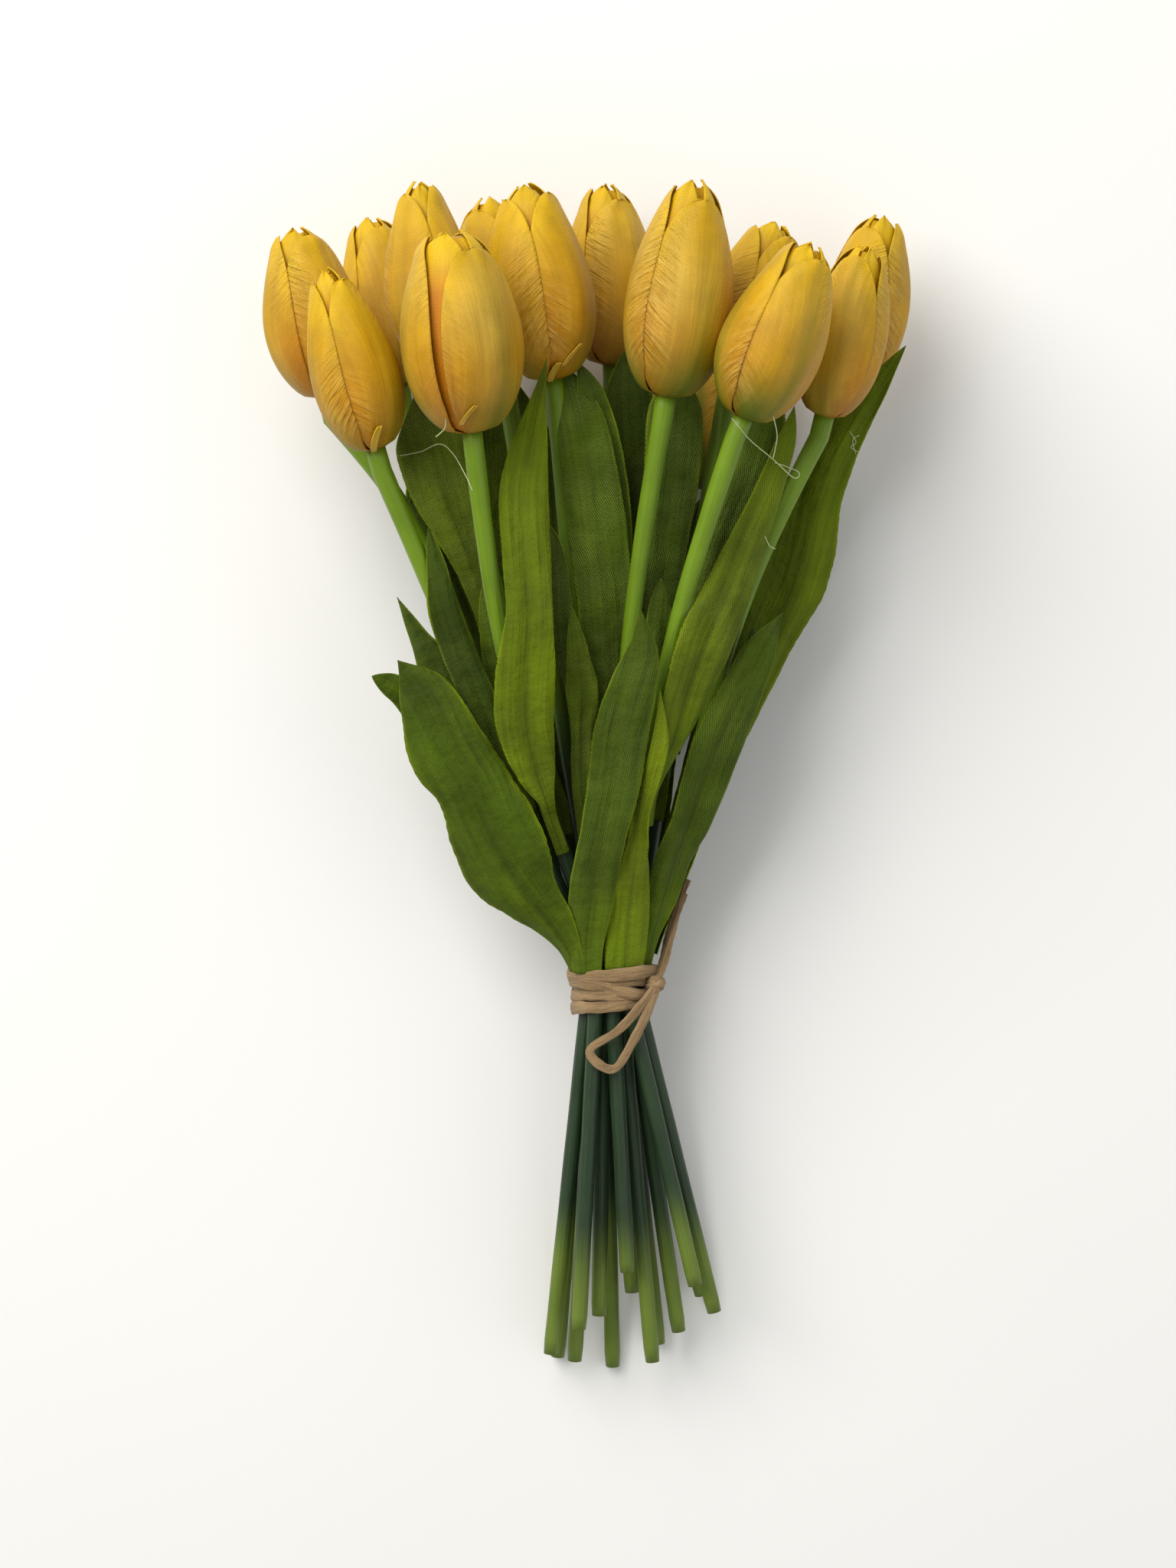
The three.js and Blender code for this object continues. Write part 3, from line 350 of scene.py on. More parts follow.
class Nodes:
    """Builds a material's nodes with short calls."""

    def __init__(self, name):
        self.material = bpy.data.materials.new(name)
        self.material.use_nodes = True
        self.tree = self.material.node_tree
        self.tree.nodes.clear()
        self.surface = self.tree.nodes.new("ShaderNodeBsdfPrincipled")
        out = self.tree.nodes.new("ShaderNodeOutputMaterial")
        self.tree.links.new(self.surface.outputs[0], out.inputs[0])

    def put(self, value, socket):
        if isinstance(value, bpy.types.NodeSocket):
            self.tree.links.new(value, socket)
        else:
            socket.default_value = value

    def math(self, operation, *values):
        node = self.tree.nodes.new("ShaderNodeMath")
        node.operation = operation
        for value, socket in zip(values, node.inputs):
            self.put(value, socket)
        return node.outputs[0]

    def attribute(self, name, output="Fac"):
        node = self.tree.nodes.new("ShaderNodeAttribute")
        node.attribute_name = name
        return node.outputs[output]

    def fabric(self):
        uv = self.tree.nodes.new("ShaderNodeUVMap")
        uv.uv_map = "fabric"
        split = self.tree.nodes.new("ShaderNodeSeparateXYZ")
        self.tree.links.new(uv.outputs[0], split.inputs[0])
        return split.outputs[0], split.outputs[1], uv.outputs[0]

    def stretched(self, vector, scale):
        node = self.tree.nodes.new("ShaderNodeMapping")
        node.inputs["Scale"].default_value = scale
        self.tree.links.new(vector, node.inputs[0])
        return node.outputs[0]

    def joined(self, *values):
        node = self.tree.nodes.new("ShaderNodeCombineXYZ")
        for value, socket in zip(values, node.inputs):
            self.put(value, socket)
        return node.outputs[0]

    def noise(self, vector, scale, detail=3.0, roughness=0.5):
        node = self.tree.nodes.new("ShaderNodeTexNoise")
        node.inputs["Scale"].default_value = scale
        node.inputs["Detail"].default_value = detail
        node.inputs["Roughness"].default_value = roughness
        self.tree.links.new(vector, node.inputs["Vector"])
        return node.outputs[0]

    def place(self):
        return self.tree.nodes.new("ShaderNodeTexCoord").outputs["Object"]

    def wave(self, value, pitch, shift=0.0):
        """A sine of 0 to 1 along a value, with that distance between its crests."""
        turned = self.math("MULTIPLY_ADD", value, 2 * math.pi / pitch, shift)
        return self.math("MULTIPLY_ADD", self.math("SINE", turned), 0.5, 0.5)

    def range(self, value, low, high, start=0.0, end=1.0):
        node = self.tree.nodes.new("ShaderNodeMapRange")
        for key, number in zip(("From Min", "From Max", "To Min", "To Max"), (start, end, low, high)):
            node.inputs[key].default_value = number
        self.tree.links.new(value, node.inputs["Value"])
        return node.outputs[0]

    def scaled(self, colour, *shares):
        """A colour times one or more numbers."""
        share = shares[0]
        for other in shares[1:]:
            share = self.math("MULTIPLY", share, other)
        node = self.tree.nodes.new("ShaderNodeVectorMath")
        node.operation = "SCALE"
        self.put(colour, node.inputs[0])
        self.put(share, node.inputs["Scale"])
        return node.outputs[0]

    def mixed(self, share, one, other):
        node = self.tree.nodes.new("ShaderNodeMix")
        node.data_type = "RGBA"
        self.put(share, node.inputs["Factor"])
        self.put(one, node.inputs[6])
        self.put(other, node.inputs[7])
        return node.outputs[2]

    def bump(self, height, distance, strength=1.0, below=None):
        node = self.tree.nodes.new("ShaderNodeBump")
        node.inputs["Distance"].default_value = distance
        node.inputs["Strength"].default_value = strength
        self.tree.links.new(height, node.inputs["Height"])
        if below is not None:
            self.tree.links.new(below, node.inputs["Normal"])
        return node.outputs[0]

    def done(self, colour, normal, roughness, **constants):
        self.put(colour, self.surface.inputs["Base Color"])
        self.put(normal, self.surface.inputs["Normal"])
        self.put(roughness, self.surface.inputs["Roughness"])
        for key, value in constants.items():
            self.surface.inputs[key.replace("_", " ")].default_value = value
        return self.material


def petal_material():
    n = Nodes("petal_satin")
    across, along, fabric = n.fabric()
    place = n.place()
    drift = n.noise(fabric, 0.35, 2.0)
    ribs = n.wave(n.math("ADD", along, n.math("MULTIPLY", drift, 1.5)), 0.55)
    threads = n.wave(n.math("ADD", across, n.math("MULTIPLY", drift, 1.2)), 0.48)
    weave = n.math("MULTIPLY", ribs, threads)
    slanted = n.attribute("diagonal")
    creases = n.noise(n.joined(n.math("MULTIPLY", slanted, 0.75), n.math("MULTIPLY", across, 0.13),
                               n.math("MULTIPLY", along, 0.05)), 1.0, 2.0, 0.55)
    crinkle = n.math("MULTIPLY", n.range(creases, 0, 1, 0.36, 0.66), n.attribute("fold"))
    blotch = n.noise(place, 90.0, 4.0, 0.6)
    streak = n.noise(n.stretched(fabric, (0.55, 0.035, 1.0)), 1.0, 3.0)
    cloth = n.scaled(n.attribute("tint", "Color"), n.range(ribs, 0.94, 1.05), n.range(weave, 0.95, 1.05),
                     n.range(blotch, 0.88, 1.12, 0.3, 0.7), n.range(streak, 0.92, 1.08, 0.32, 0.68))
    # Painted highlight: the crests of the crinkles are mixed towards a pale cream, standing in for the
    # satin's shine.
    colour = n.mixed(n.math("MULTIPLY", crinkle, 0.4), cloth, (*rgb(232, 194, 96), 1))
    soft = n.bump(streak, 0.0007, 0.5)
    folds = n.bump(crinkle, 0.0007, 0.9, soft)
    return n.done(colour, n.bump(weave, 0.0001, 0.6, folds), n.range(blotch, 0.42, 0.58, 0.3, 0.7),
                  Specular_IOR_Level=0.27)


def leaf_material():
    n = Nodes("leaf_twill")
    across, along, fabric = n.fabric()
    place = n.place()
    drift = n.noise(fabric, 0.25, 2.0)
    twill = n.math("ADD", n.math("ADD", across, n.math("MULTIPLY", along, 0.5)),
                   n.math("MULTIPLY", drift, 0.8))
    rib = n.wave(twill, 0.66)
    dots = n.wave(n.math("SUBTRACT", along, n.math("MULTIPLY", across, 0.75)), 0.62)
    weave = n.math("POWER", n.math("MULTIPLY", rib, dots), 1.2)
    coarse = n.attribute("fold")
    worn = n.range(n.noise(fabric, 0.09, 3.0), 0.3, 1.0, 0.35, 0.6)
    specks = n.math("MULTIPLY", n.math("MULTIPLY", weave, coarse), worn)
    # The long streaks and the broad blotches are partly the cloth's own uneven tone and partly painted
    # light and shade bands along its folds.
    streak_and_shade = n.noise(n.stretched(fabric, (0.45, 0.02, 1.0)), 1.0, 3.0, 0.55)
    blotch = n.noise(place, 32.0, 4.0, 0.6)
    base = n.scaled(n.attribute("tint", "Color"), n.range(blotch, 0.66, 1.3, 0.32, 0.68),
                    n.range(streak_and_shade, 0.82, 1.18, 0.32, 0.68), n.range(rib, 0.92, 1.08))
    pale = n.scaled(n.mixed(0.35, base, (*rgb(150, 160, 96), 1)), 2.3)
    colour = n.mixed(n.math("MULTIPLY", specks, 0.85), base, pale)
    veins = n.bump(streak_and_shade, 0.0016, 0.7)
    puckers = n.bump(n.noise(fabric, 0.2, 3.0), 0.0022, 0.6, veins)
    cloth = n.bump(n.math("MULTIPLY", weave, n.range(coarse, 0.35, 1.0)), 0.00028, 0.8, puckers)
    return n.done(colour, cloth, n.range(blotch, 0.62, 0.82, 0.3, 0.7), Specular_IOR_Level=0.14)


def stem_material():
    n = Nodes("stem_plastic")
    _, _, fabric = n.fabric()
    place = n.place()
    blotch = n.noise(place, 60.0, 3.0)
    streak = n.noise(n.stretched(fabric, (1.2, 0.05, 1.0)), 1.0, 3.0)
    pores = n.noise(place, 1600.0, 2.0)
    colour = n.scaled(n.attribute("tint", "Color"), n.range(blotch, 0.88, 1.12, 0.3, 0.7),
                      n.range(streak, 0.92, 1.08, 0.3, 0.7))
    wavy = n.bump(streak, 0.0006, 0.4)
    skin = n.bump(pores, 0.00005, 0.5, wavy)
    return n.done(colour, skin, n.range(blotch, 0.38, 0.52, 0.3, 0.7), Specular_IOR_Level=0.4)


def raffia_material():
    n = Nodes("raffia_straw")
    _, _, fabric = n.fabric()
    place = n.place()
    fibres = n.noise(n.stretched(fabric, (3.5, 0.12, 1.0)), 1.0, 5.0, 0.65)
    crease = n.noise(n.stretched(fabric, (1.1, 0.25, 1.0)), 1.0, 3.0)
    blotch = n.noise(place, 120.0, 3.0)
    colour = n.scaled(n.attribute("tint", "Color"), n.range(fibres, 0.72, 1.25, 0.3, 0.7),
                      n.range(blotch, 0.88, 1.12, 0.3, 0.7))
    folds = n.bump(crease, 0.0012, 0.8)
    grain = n.bump(fibres, 0.0004, 0.8, folds)
    return n.done(colour, grain, n.range(fibres, 0.6, 0.85, 0.3, 0.7), Sheen_Weight=0.1,
                  Specular_IOR_Level=0.3)


def floor_material():
    n = Nodes("floor_paper")
    place = n.place()
    grain = n.noise(place, 900.0, 3.0)
    cloud = n.noise(place, 3.0, 2.0)
    colour = n.scaled((0.86, 0.86, 0.85), n.range(cloud, 0.985, 1.015, 0.3, 0.7))
    return n.done(colour, n.bump(grain, 0.00003, 0.3), n.range(grain, 0.85, 0.95))


PETAL, LEAF, STEM, RAFFIA = petal_material(), leaf_material(), stem_material(), raffia_material()

# --- Stems --------------------------------------------------------------------------------
SEATS = [((i - (count - 1) / 2) * SEAT_PITCH, row * SEAT_PITCH * math.sqrt(0.75))
         for count, row in SEAT_ROWS for i in range(count)]


def bloom_axes(bloom):
    """The bloom's base, tip, and its directions along, up and to the side."""
    base, tip = np.array(bloom.base, float), np.array(bloom.tip, float)
    along = unit(tip - base)
    up = unit(np.array([0, 0, 1.0]) - along * along[2])
    return base, tip, along, up, np.cross(along, up)


NECKS = [bloom_axes(b)[0] - NECK * bloom_axes(b)[2] for b in BLOOMS]


def share_seats():
    """The seat of each stem in the tie, so that no two stems cross."""
    taken = list(range(len(BLOOMS)))

    def fit(i, seat):
        return (SEATS[seat][0] * NECKS[i][0]
                + SEATS[seat][1] * (NECKS[i][2] - 2 * TIE_HEIGHT)) / NECKS[i][1]

    swapped = True
    while swapped:
        swapped = False
        for i in range(1, len(taken)):
            for j in range(i):
                now = fit(i, taken[i]) + fit(j, taken[j])
                if fit(i, taken[j]) + fit(j, taken[i]) > now + 1e-9:
                    taken[i], taken[j] = taken[j], taken[i]
                    swapped = True
    return [SEATS[seat] for seat in taken]


STEM_SEATS = share_seats()


def stem_axis(i, y):
    """The middle of stem i at distances y along the bunch."""
    y = np.asarray(y, float)
    across, up = STEM_SEATS[i]
    neck, (end_x, end_y) = NECKS[i], STEM_ENDS[i]
    part = np.clip((y - HELD) / (neck[1] - HELD), 0, 1)
    below = np.maximum(-y - HELD, 0)
    bow = BLOOMS[i].bow * np.sin(np.pi * part ** BLOOMS[i].lean)
    x = np.where(y >= 0, mix(across, neck[0], part) + bow, mix(across, end_x, below / (-end_y - HELD)))
    z = np.where(y >= 0, mix(TIE_HEIGHT + up, neck[2], part),
                 TIE_HEIGHT + up * (1 + FAN_UP * below / FAN_LENGTH) - FAN_DROP * below / FAN_LENGTH)
    return np.stack([x, y, z], axis=-1)


def ring_frames(path):
    along = unit(np.gradient(path, axis=0))
    up = unit(np.array([0, 0, 1.0]) - along * along[:, 2:])
    return along, up, np.cross(along, up)


STEM_TINTS = [rgb(*c) for c in ((104, 134, 12), (32, 54, 28), (96, 116, 34))]


def make_stem(i):
    end_y, neck_y = STEM_ENDS[i][1], NECKS[i][1]
    y = np.concatenate([np.linspace(end_y, -HELD, 26)[:-1], np.linspace(-HELD, HELD, 4)[:-1],
                        np.linspace(HELD, neck_y, 40)])
    path = stem_axis(i, y)
    base, _, along, _, _ = bloom_axes(BLOOMS[i])
    path = np.vstack([path, base - along * 2.5, base + along * 1.2])
    y = path[:, 1]
    _, up, side = ring_frames(path)
    down = np.clip((neck_y - y) / STEM_TOP[1], 0, 1)
    radius = mix(STEM_TOP[0], STEM_RADIUS, down)
    radius = radius * (1 + 0.015 * np.sin(y * 0.21 + i * 2.1)) * smooth(end_y - 1.2, end_y + 0.8, y)**0.25
    sides = 18
    turn = np.arange(sides) * 2 * math.pi / sides
    rings = (path[:, None] + side[:, None] * (radius[:, None] * np.cos(turn))[..., None]
             + up[:, None] * (radius[:, None] * np.sin(turn))[..., None])
    light, dark, ends = STEM_TINTS
    start = 58 + 30 * vary(i * 3 + 1)
    tint = blend_to(np.broadcast_to(dark, (len(y), 3)), light, smooth(start - 22, start + 22, y))
    tint = blend_to(tint, ends, smooth(-62, -84, y + 6 * np.sin(i * 1.7)))
    tint = np.repeat(tint[:, None], sides, axis=1)
    fabric = np.stack(np.meshgrid(y, turn * STEM_RADIUS, indexing="ij")[::-1], axis=-1)
    mesh = Mesh()
    zero = np.zeros(rings.shape[:2])
    mesh.add_tube(rings, tint, fabric, zero, zero)
    mesh.finish(f"tulip_stem_{i + 1:02d}", STEM, [f"stem_{i + 1:02d}"])


# --- Blooms -------------------------------------------------------------------------------
# The fourth colour, a dark brown, is painted shade for the crease at each front seam.
GOLD, PEACH, ORANGE, SEAM_SHADE, MOSS, SUN = (rgb(*c) for c in (
    (188, 141, 4), (202, 164, 60), (184, 102, 6), (140, 78, 8), (92, 102, 8), (214, 174, 10)))


def bloom_radius(bloom, t):
    foot, rise, swell, power = PROFILE
    belly = np.sin(np.pi * (foot + rise * np.clip(t, 0, 1.1) ** swell))
    dome = np.sqrt(1 - np.clip((t - 0.89) / 0.13, 0, 0.98) ** 2)
    return bloom.radius * np.maximum(belly, 0.01) ** power * (1 - bloom.point * t * t) * dome


def bloom_points(bloom, t, angle, radius):
    base, tip, _, up, side = bloom_axes(bloom)
    return (base + (tip - base) * t[..., None] + up * (radius * np.cos(angle))[..., None]
            + side * (radius * np.sin(angle))[..., None])


def petal_width(s, blunt):
    return mix(0.82, 1, np.minimum(s / 0.15, 1)) * np.maximum((1 - s**blunt) ** 0.42, 0.05)


def petal_fields(bloom, s, v, seed, inner, creased):
    """Colour, fabric place, diagonal and strength of the crinkles over a petal."""
    length = np.linalg.norm(np.subtract(bloom.tip, bloom.base))
    pale, green = bloom.pale, bloom.green
    wave = np.sin(5.1 * s + 2.3 * v + seed * 9) * np.sin(2.7 * v - 3.9 * s + seed * 17)
    edge, low = np.abs(v), smooth(0.9, 0.2, s)
    # Partly painted highlight: the petals are mixed towards peach most in their middles, partly the cloth's
    # own paler colour and partly a painted satin highlight.
    tint = blend_to(np.broadcast_to(GOLD, s.shape + (3,)), PEACH,
                    np.clip(pale * (0.65 + 0.6 * wave) * (1 - 0.3 * edge), 0, 1))
    tint = blend_to(tint, SUN, smooth(0.55, 1.0, s) * (0.9 if inner else 0.7 - 0.35 * pale))
    if inner:
        # Painted shade: the inner petals turn orange down their lower middle and along their edges, where
        # they lie deep in the bloom and tucked under the outer petals.
        tint = blend_to(tint, ORANGE, 0.75 * (1 - smooth(0.2, 0.9, edge)) * (1 - smooth(0.7, 0.92, s)))
        tint = blend_to(tint, ORANGE, 0.6 * smooth(0.7, 1, edge) * (1 - smooth(0.5, 0.9, s)))
    else:
        tint = blend_to(tint, SUN, 0.5 * smooth(0.5, 0.9, edge) * (1 - low))
        # Painted shade: low on the petal the colour turns orange towards the edges, where petals overlap.
        tint = blend_to(tint, ORANGE, 0.6 * smooth(0.35, 0.95, edge) * low * (0.6 + 0.4 * wave))
        tint = blend_to(tint, ORANGE, 0.4 * smooth(0.6, 0.05, s) * smooth(0.0, 0.9, np.abs(v + 0.2 - seed)))
        foot = green * smooth(0.42, 0.0, s) * (1 - 0.5 * np.abs(v - seed + 0.5))
        tint = blend_to(tint, MOSS, np.clip(foot, 0, 1))
        tint = blend_to(tint, MOSS, 0.45 * green * np.exp(-((v - 0.15) / 0.2) ** 2) * smooth(1.1, 0.3, s))
        # Painted shade: a thin dark brown line just inside the under edge, low down, for the crease at the
        # seam.
        tint = blend_to(tint, SEAM_SHADE, 0.35 * np.exp(-((v + 0.9) / 0.06) ** 2) * low)
    arc = np.radians(60) * bloom_radius(bloom, s) * petal_width(s, 7)
    fabric = np.stack([v * arc + seed * 31, s * length], axis=-1)
    diagonal = s * length - 0.9 * edge * arc
    fold = smooth(0.12, 0.72, edge) * smooth(0.05, 0.25, s) * smooth(1.0, 0.85, s)
    fold = fold * creased * np.clip(0.3 + 0.6 * np.sin(seed * 40 + 3.0 * s + np.sign(v) * 1.3), 0.08, 0.85)
    return tint, fabric, diagonal, fold


def add_petal(mesh, bloom, index, k, inner):
    rows, cols = (44, 20) if inner else (66, 34)
    s = 1 - (1 - np.linspace(0, 1, rows + 1)) ** 2.2
    v = np.linspace(-1, 1, cols + 1)
    s, v = np.meshgrid(s, v, indexing="ij")
    seed = vary(index * 6 + (3 if inner else 0) + k)
    middling = 1 - v * v
    if inner:
        t = s * (1.0 - 0.02 * seed)
        middle, reach, blunt = bloom.seam + 120 * k, 61, 12
        rise = -1.7 - 0.3 * v
    else:
        front = bloom.gap / 2 * smooth(0, 0.2, s)
        middle, blunt = bloom.seam + 60 + 120 * k, 8
        t = s * (0.98 - 0.05 * max(math.cos(math.radians(middle)), 0) - 0.03 * seed)
        reach = np.where(v > 0, 62 - (k == 2) * front, 67 - (k == 0) * (12 * (bloom.gap > 0) + front))
        rise = np.where(v > 0, 0.0, -0.34 * smooth(-0.3, -0.88, v))
    lean = (seed - 0.5) * 10 * s**3
    angle = np.radians(middle + lean + v * reach * petal_width(s, blunt))
    radius = bloom_radius(bloom, t) + rise
    radius = radius + 0.55 * np.sin(3.4 * v + 2.5 * s + seed * 25) * np.sin(np.pi * s) * middling
    radius = radius + 0.25 * np.sin(9 * v - 5 * s + seed * 11) * np.sin(np.pi * s) * middling
    radius = radius + (0.5 - 0.9 * seed) * smooth(0.85, 1, s) * middling
    radius = radius + 0.25 * np.sin(5 * v + seed * 30) * smooth(0.85, 1, s)
    radius = mix(1.4, radius, np.sqrt(smooth(-0.004, 0.04, s)))
    grid = bloom_points(bloom, t, angle, np.maximum(radius, 0.6))
    creased = (0.25, 1, 1.5)[k] if bloom.gap else 1
    mesh.add_sheet(grid, PETAL_SHEET, *petal_fields(bloom, s, v, seed, inner, creased))


def add_scrap(mesh, bloom, turn, start, length, width):
    """A loose lip of petal cloth that curls off the foot of a bloom."""
    s, v = np.meshgrid(np.linspace(0, 1, 15), np.linspace(-1, 1, 7), indexing="ij")
    t = start + length * s
    around = np.radians(turn + 22 * s) + v * width * np.sqrt(1 - 0.9 * s) / bloom.radius
    radius = bloom_radius(bloom, t) + 0.3 + 0.9 * s**2 + 0.4 * v * v * s
    tint = blend_to(np.broadcast_to(PEACH, s.shape + (3,)), SUN, 0.5 * s)
    fabric = np.stack([v * 3, s * 9], axis=-1)
    mesh.add_sheet(bloom_points(bloom, t, around, radius), LIP_SHEET, tint, fabric, s * 9, s * 0)


def add_core(mesh, bloom, seed):
    """The folded bud inside the petals."""
    t, turn = np.meshgrid(np.linspace(0.02, 0.96, 30), np.arange(48) * math.pi / 24, indexing="ij")
    radius = bloom_radius(bloom, t) - mix(3.6, 2.5, smooth(0.6, 0.85, t))
    folds = np.abs(np.sin(2.5 * turn + 2 * t + seed * 6)) * 0.9 * smooth(0.6, 0.9, t)
    rings = bloom_points(bloom, t, turn, np.maximum(radius - folds, 0.35))
    # Painted shade: the fold grooves of the bud keep more of the orange, so it is darker in its creases.
    tint = blend_to(np.broadcast_to(ORANGE, t.shape + (3,)), SUN, smooth(0.72, 0.95, t) * (1 - 0.5 * folds))
    mesh.add_tube(rings, tint, np.stack([turn * 10, t * 50], axis=-1), t * 0, t * 0)


def make_bloom(index):
    bloom = BLOOMS[index]
    mesh = Mesh()
    add_core(mesh, bloom, vary(index * 4))
    for k in range(3):
        add_petal(mesh, bloom, index, k, True)
    for k in range(3):
        add_petal(mesh, bloom, index, k, False)
    for number, *place in SCRAPS:
        if number == index:
            add_scrap(mesh, bloom, *place)
    mesh.finish(f"tulip_bloom_{index + 1:02d}", PETAL, [f"bloom_{index + 1:02d}"])


# --- Leaves -------------------------------------------------------------------------------
LEAF_DARK, LEAF_MID, LEAF_LIGHT, LEAF_FOOT = (rgb(*c) for c in (
    (34, 48, 4), (64, 84, 4), (100, 116, 4), (96, 118, 6)))


def outward(turn):
    return np.stack([np.sin(turn), np.zeros_like(turn), np.cos(turn)], axis=-1)


def make_leaf(index):
    name, stem, at, face, hold, wave, waves, scallop, tone, weave, path = LEAVES[index]
    rows = path
    if stem is not None:
        standoff = outward(np.radians([face, face])) * CLASP_STANDOFF
        clasp = stem_axis(stem, [at, at + CLASP_LENGTH]) + standoff
        rows = [(*p, hold, face) for p in clasp] + path
    length = sum(np.linalg.norm(np.subtract(a[:3], b[:3])) for a, b in zip(rows, rows[1:]))
    steps, cols = (int(length * 0.75), 20) if name in WIDE_LEAVES else (int(length * 0.6), 14)
    u = np.linspace(0, 1, steps + 1)
    x, y, z, width, turn = spline(rows, u).T
    middle = np.stack([x, y, z], axis=-1)
    ahead, behind = spline(rows, np.minimum(u + 0.01, 1)), spline(rows, np.maximum(u - 0.01, 0))
    along = unit((ahead - behind)[:, :3])
    out = outward(np.radians(turn))
    out = unit(out - along * (out * along).sum(-1, keepdims=True))
    side = np.cross(along, out)
    seed = vary(index * 2 + 5)
    uu, v = np.meshgrid(u, np.linspace(-1, 1, cols + 1), indexing="ij")
    phase = 2 * np.pi * waves * uu + np.where(v > 0, 0, 2)
    bulge = np.sin(np.pi * uu)
    edge = 1 + scallop * np.sin(phase) * bulge * v * v
    ragged = np.sin(uu * 95 + seed * 50 + v) * np.sin(uu * 173 + seed * 90)
    edge = edge + 0.018 * ragged * np.abs(v) ** 3 * bulge
    tip = np.clip(1 - ((uu - 0.87) / 0.13).clip(0, 1) ** 1.8, 0.05, 1)
    half = (width[:, None] / 2) * edge * tip
    cup = mix(0.16 if stem is None else 0.45, 0.16, np.minimum(uu / 0.25, 1)) * half * v * v
    ripple = wave * bulge * np.cos(phase) * v * v
    fine = 0.65 * np.sin(uu * (17 + 9 * seed) + 3 * v + seed * 30) * bulge * v * v
    rib = -0.22 * np.exp(-(v / 0.09) ** 2) * smooth(1, 0.7, uu)
    rib = rib + 0.75 * np.sin(4.5 * v + 4 * uu + seed * 20) * bulge * np.minimum(half / 6, 1)
    rib = rib + 0.75 * smooth(0.7, 1, np.abs(v)) * np.sin(uu * 11 + np.sign(v) * 2 + seed * 40) * bulge
    grid = (middle[:, None] + side[:, None] * (half * v)[..., None]
            + out[:, None] * (0.18 - cup + ripple + fine + rib)[..., None])
    tint = np.broadcast_to(mix(LEAF_DARK, LEAF_MID, min(tone * 2, 1)) if tone < 0.5
                           else mix(LEAF_MID, LEAF_LIGHT, tone * 2 - 1), uu.shape + (3,))
    tint = blend_to(tint, LEAF_FOOT, 0.75 * tone * smooth(0.45, 0.05, uu))
    # Painted shade: the leaf is darker along its midrib groove, more so towards its foot.
    tint = blend_to(tint, LEAF_DARK, 0.45 * np.exp(-(v / 0.12) ** 2) * smooth(0.9, 0.3, uu))
    tint = blend_to(tint, LEAF_LIGHT, 0.3 * tone * np.clip(np.sin(3.1 * v + 5 * uu + seed * 12), 0, 1))
    # The edges are lightened: partly the pale frayed hem and partly a painted highlight on the rolled edge.
    tint = blend_to(tint, LEAF_LIGHT * 1.5, 0.6 * smooth(0.93, 1, np.abs(v)))
    fabric = np.stack([half * v + index * 37, uu * length], axis=-1)
    mesh = Mesh()
    mesh.add_sheet(grid, LEAF_SHEET, tint, fabric, uu * length, np.full(uu.shape, float(weave)))
    mesh.finish(f"tulip_{name}", LEAF, [name])


# --- Raffia -------------------------------------------------------------------------------
STRAW, STRAW_DARK = rgb(158, 130, 92), rgb(112, 88, 58)


def bundle_reach(angle):
    reach = np.max([x * np.cos(angle) + z * np.sin(angle) for x, z in SEATS], axis=0)
    return reach + STEM_RADIUS + 2 * GAP


def band_inner(angle):
    turns = np.arange(-8, 9) * math.pi / 24
    return np.min([bundle_reach(angle + turn) / math.cos(turn) for turn in turns], axis=0)


def add_ribbon(mesh, path, out, width, thick, seed, closed=False):
    """A flat folded straw along a path, `out` being the way that its face looks."""
    if closed:
        along = unit(np.roll(path, -1, axis=0) - np.roll(path, 1, axis=0))
    else:
        along = unit(np.gradient(path, axis=0))
    out = unit(out - along * (out * along).sum(-1, keepdims=True))
    side = np.cross(along, out)
    count, sides = len(path), 14
    turn = np.arange(sides) * 2 * math.pi / sides
    step = np.linspace(0, 1, count)[:, None]
    ridge = 0.22 * np.sin(3 * turn + 9 * step + seed * 7) + 0.12 * np.sin(5 * turn - 31 * step + seed * 3)
    swell = 1 + 0.1 * np.sin(2 * np.pi * (3 * step + seed)) + 0.05 * np.sin(2 * np.pi * (11 * step + seed))
    wide = np.sign(np.cos(turn)) * np.abs(np.cos(turn)) ** 0.8 * width / 2 * swell
    high = np.sin(turn) * thick / 2 * (1 + ridge)
    rings = path[:, None] + side[:, None] * wide[..., None] + out[:, None] * high[..., None]
    run = np.concatenate([[0], np.cumsum(np.linalg.norm(np.diff(path, axis=0), axis=1))])
    fabric = np.stack([np.broadcast_to(wide + seed * 40, wide.shape),
                       np.broadcast_to(run[:, None], wide.shape)], axis=-1)
    shade = 0.5 + 0.5 * np.sin(turn * 2 + 13 * step + seed * 19)
    tint = blend_to(np.broadcast_to(STRAW, wide.shape + (3,)), STRAW_DARK, 0.45 * shade)
    mesh.add_tube(rings, tint, fabric, wide * 0, wide * 0, closed)


def make_band():
    mesh = Mesh()
    angle = np.arange(120) * 2 * math.pi / 120
    inner = band_inner(angle)
    inner = sum(np.roll(inner, k) for k in range(-3, 4)) / 7
    face = np.stack([np.cos(angle), 0 * angle, np.sin(angle)], axis=-1)
    for k, (y, slant, lift) in enumerate([(-4.6, 1.5, 0.5), (-1.6, 0.4, 0.9), (1.5, 1.7, 0.6),
                                          (4.5, 0.6, 1.1), (0.2, -2.3, 1.5)]):
        height = y + slant * np.cos(angle) + 0.35 * np.sin(3 * angle + k * 2)
        flare = np.where(height > 0, 0.35 * height, -0.15 * height)
        radius = inner + flare + lift + 0.25 * np.sin(4 * angle + k)
        path = np.stack([radius * np.cos(angle), height, TIE_HEIGHT + radius * np.sin(angle)], axis=-1)
        add_ribbon(mesh, path, face, 3.7, 1.0, vary(k + 3), True)
    mesh.finish("raffia_wraps", RAFFIA, ["raffia_band"])


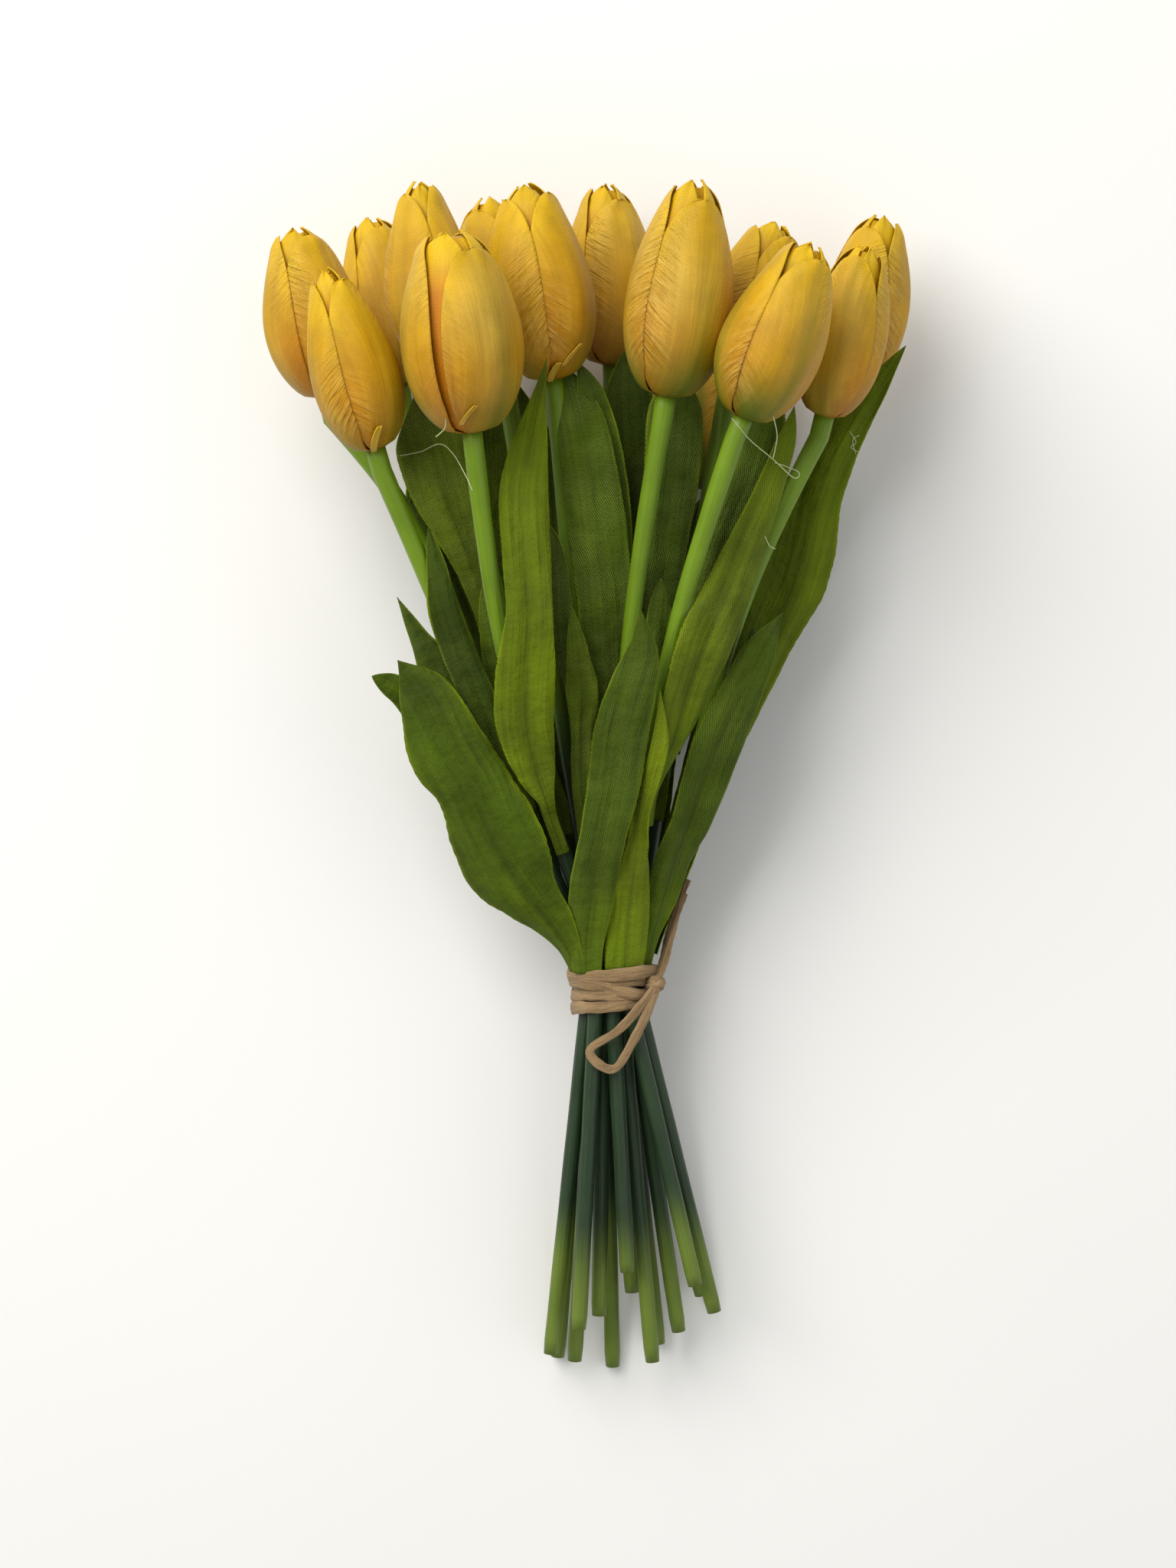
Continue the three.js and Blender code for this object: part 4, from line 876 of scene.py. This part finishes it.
def make_knot():
    mesh = Mesh()
    up = np.array([0, 0, 1.0])
    for k, points in enumerate([LOOP, *TAILS]):
        path = spline(points, np.linspace(0, 1, 60))
        twist = np.stack([0.35 * np.sin(np.linspace(0, 9, 60) + k), np.zeros(60), np.ones(60)], axis=-1)
        add_ribbon(mesh, path, twist, 1.9 if k else 2.7, 1.1, vary(k + 11))
    centre = np.array(KNOT_AT)
    for k, (tilt, size) in enumerate([(0.4, 2.5), (-0.7, 2.2), (1.5, 2.0)]):
        turn = np.arange(40) * 2 * math.pi / 40
        a = np.array([math.cos(tilt), math.sin(tilt), 0.15])
        b = unit(np.cross(a, up) * 0.3 + up)
        path = centre + size * (np.cos(turn)[:, None] * unit(a) + 0.9 * np.sin(turn)[:, None] * b)
        add_ribbon(mesh, path, path - centre, 2.4, 1.1, vary(k + 21), True)
    mesh.finish("raffia_tied_knot", RAFFIA, ["raffia_knot"])


# --- Loose threads ------------------------------------------------------------------------
# Where each thread of petal cloth lies, as x, y; it rests on the pieces below it.
THREADS = [
    [(-61.5, 155), (-56, 156), (-50, 158), (-46, 155), (-42, 148), (-40, 143.5)],
    [(-50, 158), (-47.5, 160), (-47, 162.5)],
    [(33.3, 163.5), (38, 158), (45.5, 152.7), (51.5, 148.2), (53.4, 149.2), (52, 150.8), (46.3, 152.7)],
    [(44.7, 163.5), (46, 158.5), (45.2, 152.7)],
    [(43.6, 131.5), (45.1, 129), (46.8, 128.3)],
    [(69.5, 164), (71.5, 161), (70, 159.5), (72.5, 158)],
    [(72.5, 163), (70.5, 161.5), (71.5, 157.5)],
]


def make_threads():
    """Each thread lies on what is below it, and spans the dips that it is too stiff to follow."""
    points, faces = [], []
    for piece_points, piece_faces in SURFACES:
        faces.extend([i + len(points) for i in face] for face in piece_faces)
        points.extend(piece_points)
    below = BVHTree.FromPolygons(points, faces)
    mesh = Mesh()
    for points in THREADS:
        path = spline([(*p, 0) for p in points], np.linspace(0, 1, 12 * len(points)))
        for p in path:
            hit = below.ray_cast(Vector((*p[:2], ABOVE_ALL)), Vector((0, 0, -1)))[0]
            p[2] = hit[2] if hit else 0
        run = np.concatenate([[0], np.cumsum(np.linalg.norm(np.diff(path[:, :2], axis=0), axis=1))])
        slack = THREAD_SLOPE * np.abs(run[:, None] - run)
        path[:, 2] = np.max(path[:, 2] - slack, axis=1) + THREAD_LIFT
        _, up, side = ring_frames(path)
        turn = np.arange(6) * math.pi / 3
        across = side[:, None] * np.cos(turn)[:, None] + up[:, None] * np.sin(turn)[:, None]
        rings = path[:, None] + THREAD_RADIUS * across
        tint = np.broadcast_to(rgb(190, 196, 150), rings.shape)
        zero = np.zeros(rings.shape[:2])
        fabric = np.stack([zero, zero + run[:, None]], axis=-1)
        mesh.add_tube(rings, tint, fabric, zero, zero)
    mesh.finish("loose_threads", PETAL)


# --- The object ---------------------------------------------------------------------------
for number in range(len(BLOOMS)):
    make_bloom(number)
    make_stem(number)
for number in range(len(LEAVES)):
    make_leaf(number)
make_band()
make_knot()
make_threads()

# --- The studio ---------------------------------------------------------------------------
scene = bpy.context.scene
FLOOR = 2  # half the floor's side, in metres
CAMERA_AT = (-0.00076, -0.00127, 1.125)  # looks straight down
floor_mesh = bpy.data.meshes.new("floor")
floor_mesh.from_pydata([(-FLOOR, -FLOOR, 0), (FLOOR, -FLOOR, 0), (FLOOR, FLOOR, 0), (-FLOOR, FLOOR, 0)],
                       [], [(0, 1, 2, 3)])
floor_mesh.materials.append(floor_material())
floor = bpy.data.objects.new("floor", floor_mesh)
scene.collection.objects.link(floor)

world = bpy.data.worlds.new("studio")
scene.world = world
world.use_nodes = True
world.node_tree.nodes["Background"].inputs["Color"].default_value = (1.0, 0.99, 0.97, 1)
world.node_tree.nodes["Background"].inputs["Strength"].default_value = 0.45


def add_light(name, place, aim, size, power, colour):
    data = bpy.data.lights.new(name, "AREA")
    data.energy, data.size, data.color = power, size, colour
    lamp = bpy.data.objects.new(name, data)
    scene.collection.objects.link(lamp)
    lamp.location = place
    lamp.rotation_mode = "QUATERNION"
    direction = Vector(aim) - Vector(place)
    lamp.rotation_quaternion = direction.to_track_quat("-Z", "Y")


add_light("key", (-0.75, 0.8, 1.15), (0, 0.05, 0.03), 1.3, 27, (1.0, 0.98, 0.93))
add_light("fill", (1.0, -0.3, 1.0), (0, 0, 0.03), 1.2, 3, (0.95, 0.98, 1.0))

camera_data = bpy.data.cameras.new("camera")
camera_data.lens, camera_data.sensor_width = 85, 36
camera_data.clip_start, camera_data.clip_end = 0.05, 20
camera = bpy.data.objects.new("camera", camera_data)
camera.location = CAMERA_AT
scene.collection.objects.link(camera)
scene.camera = camera
scene.view_settings.view_transform = "Standard"
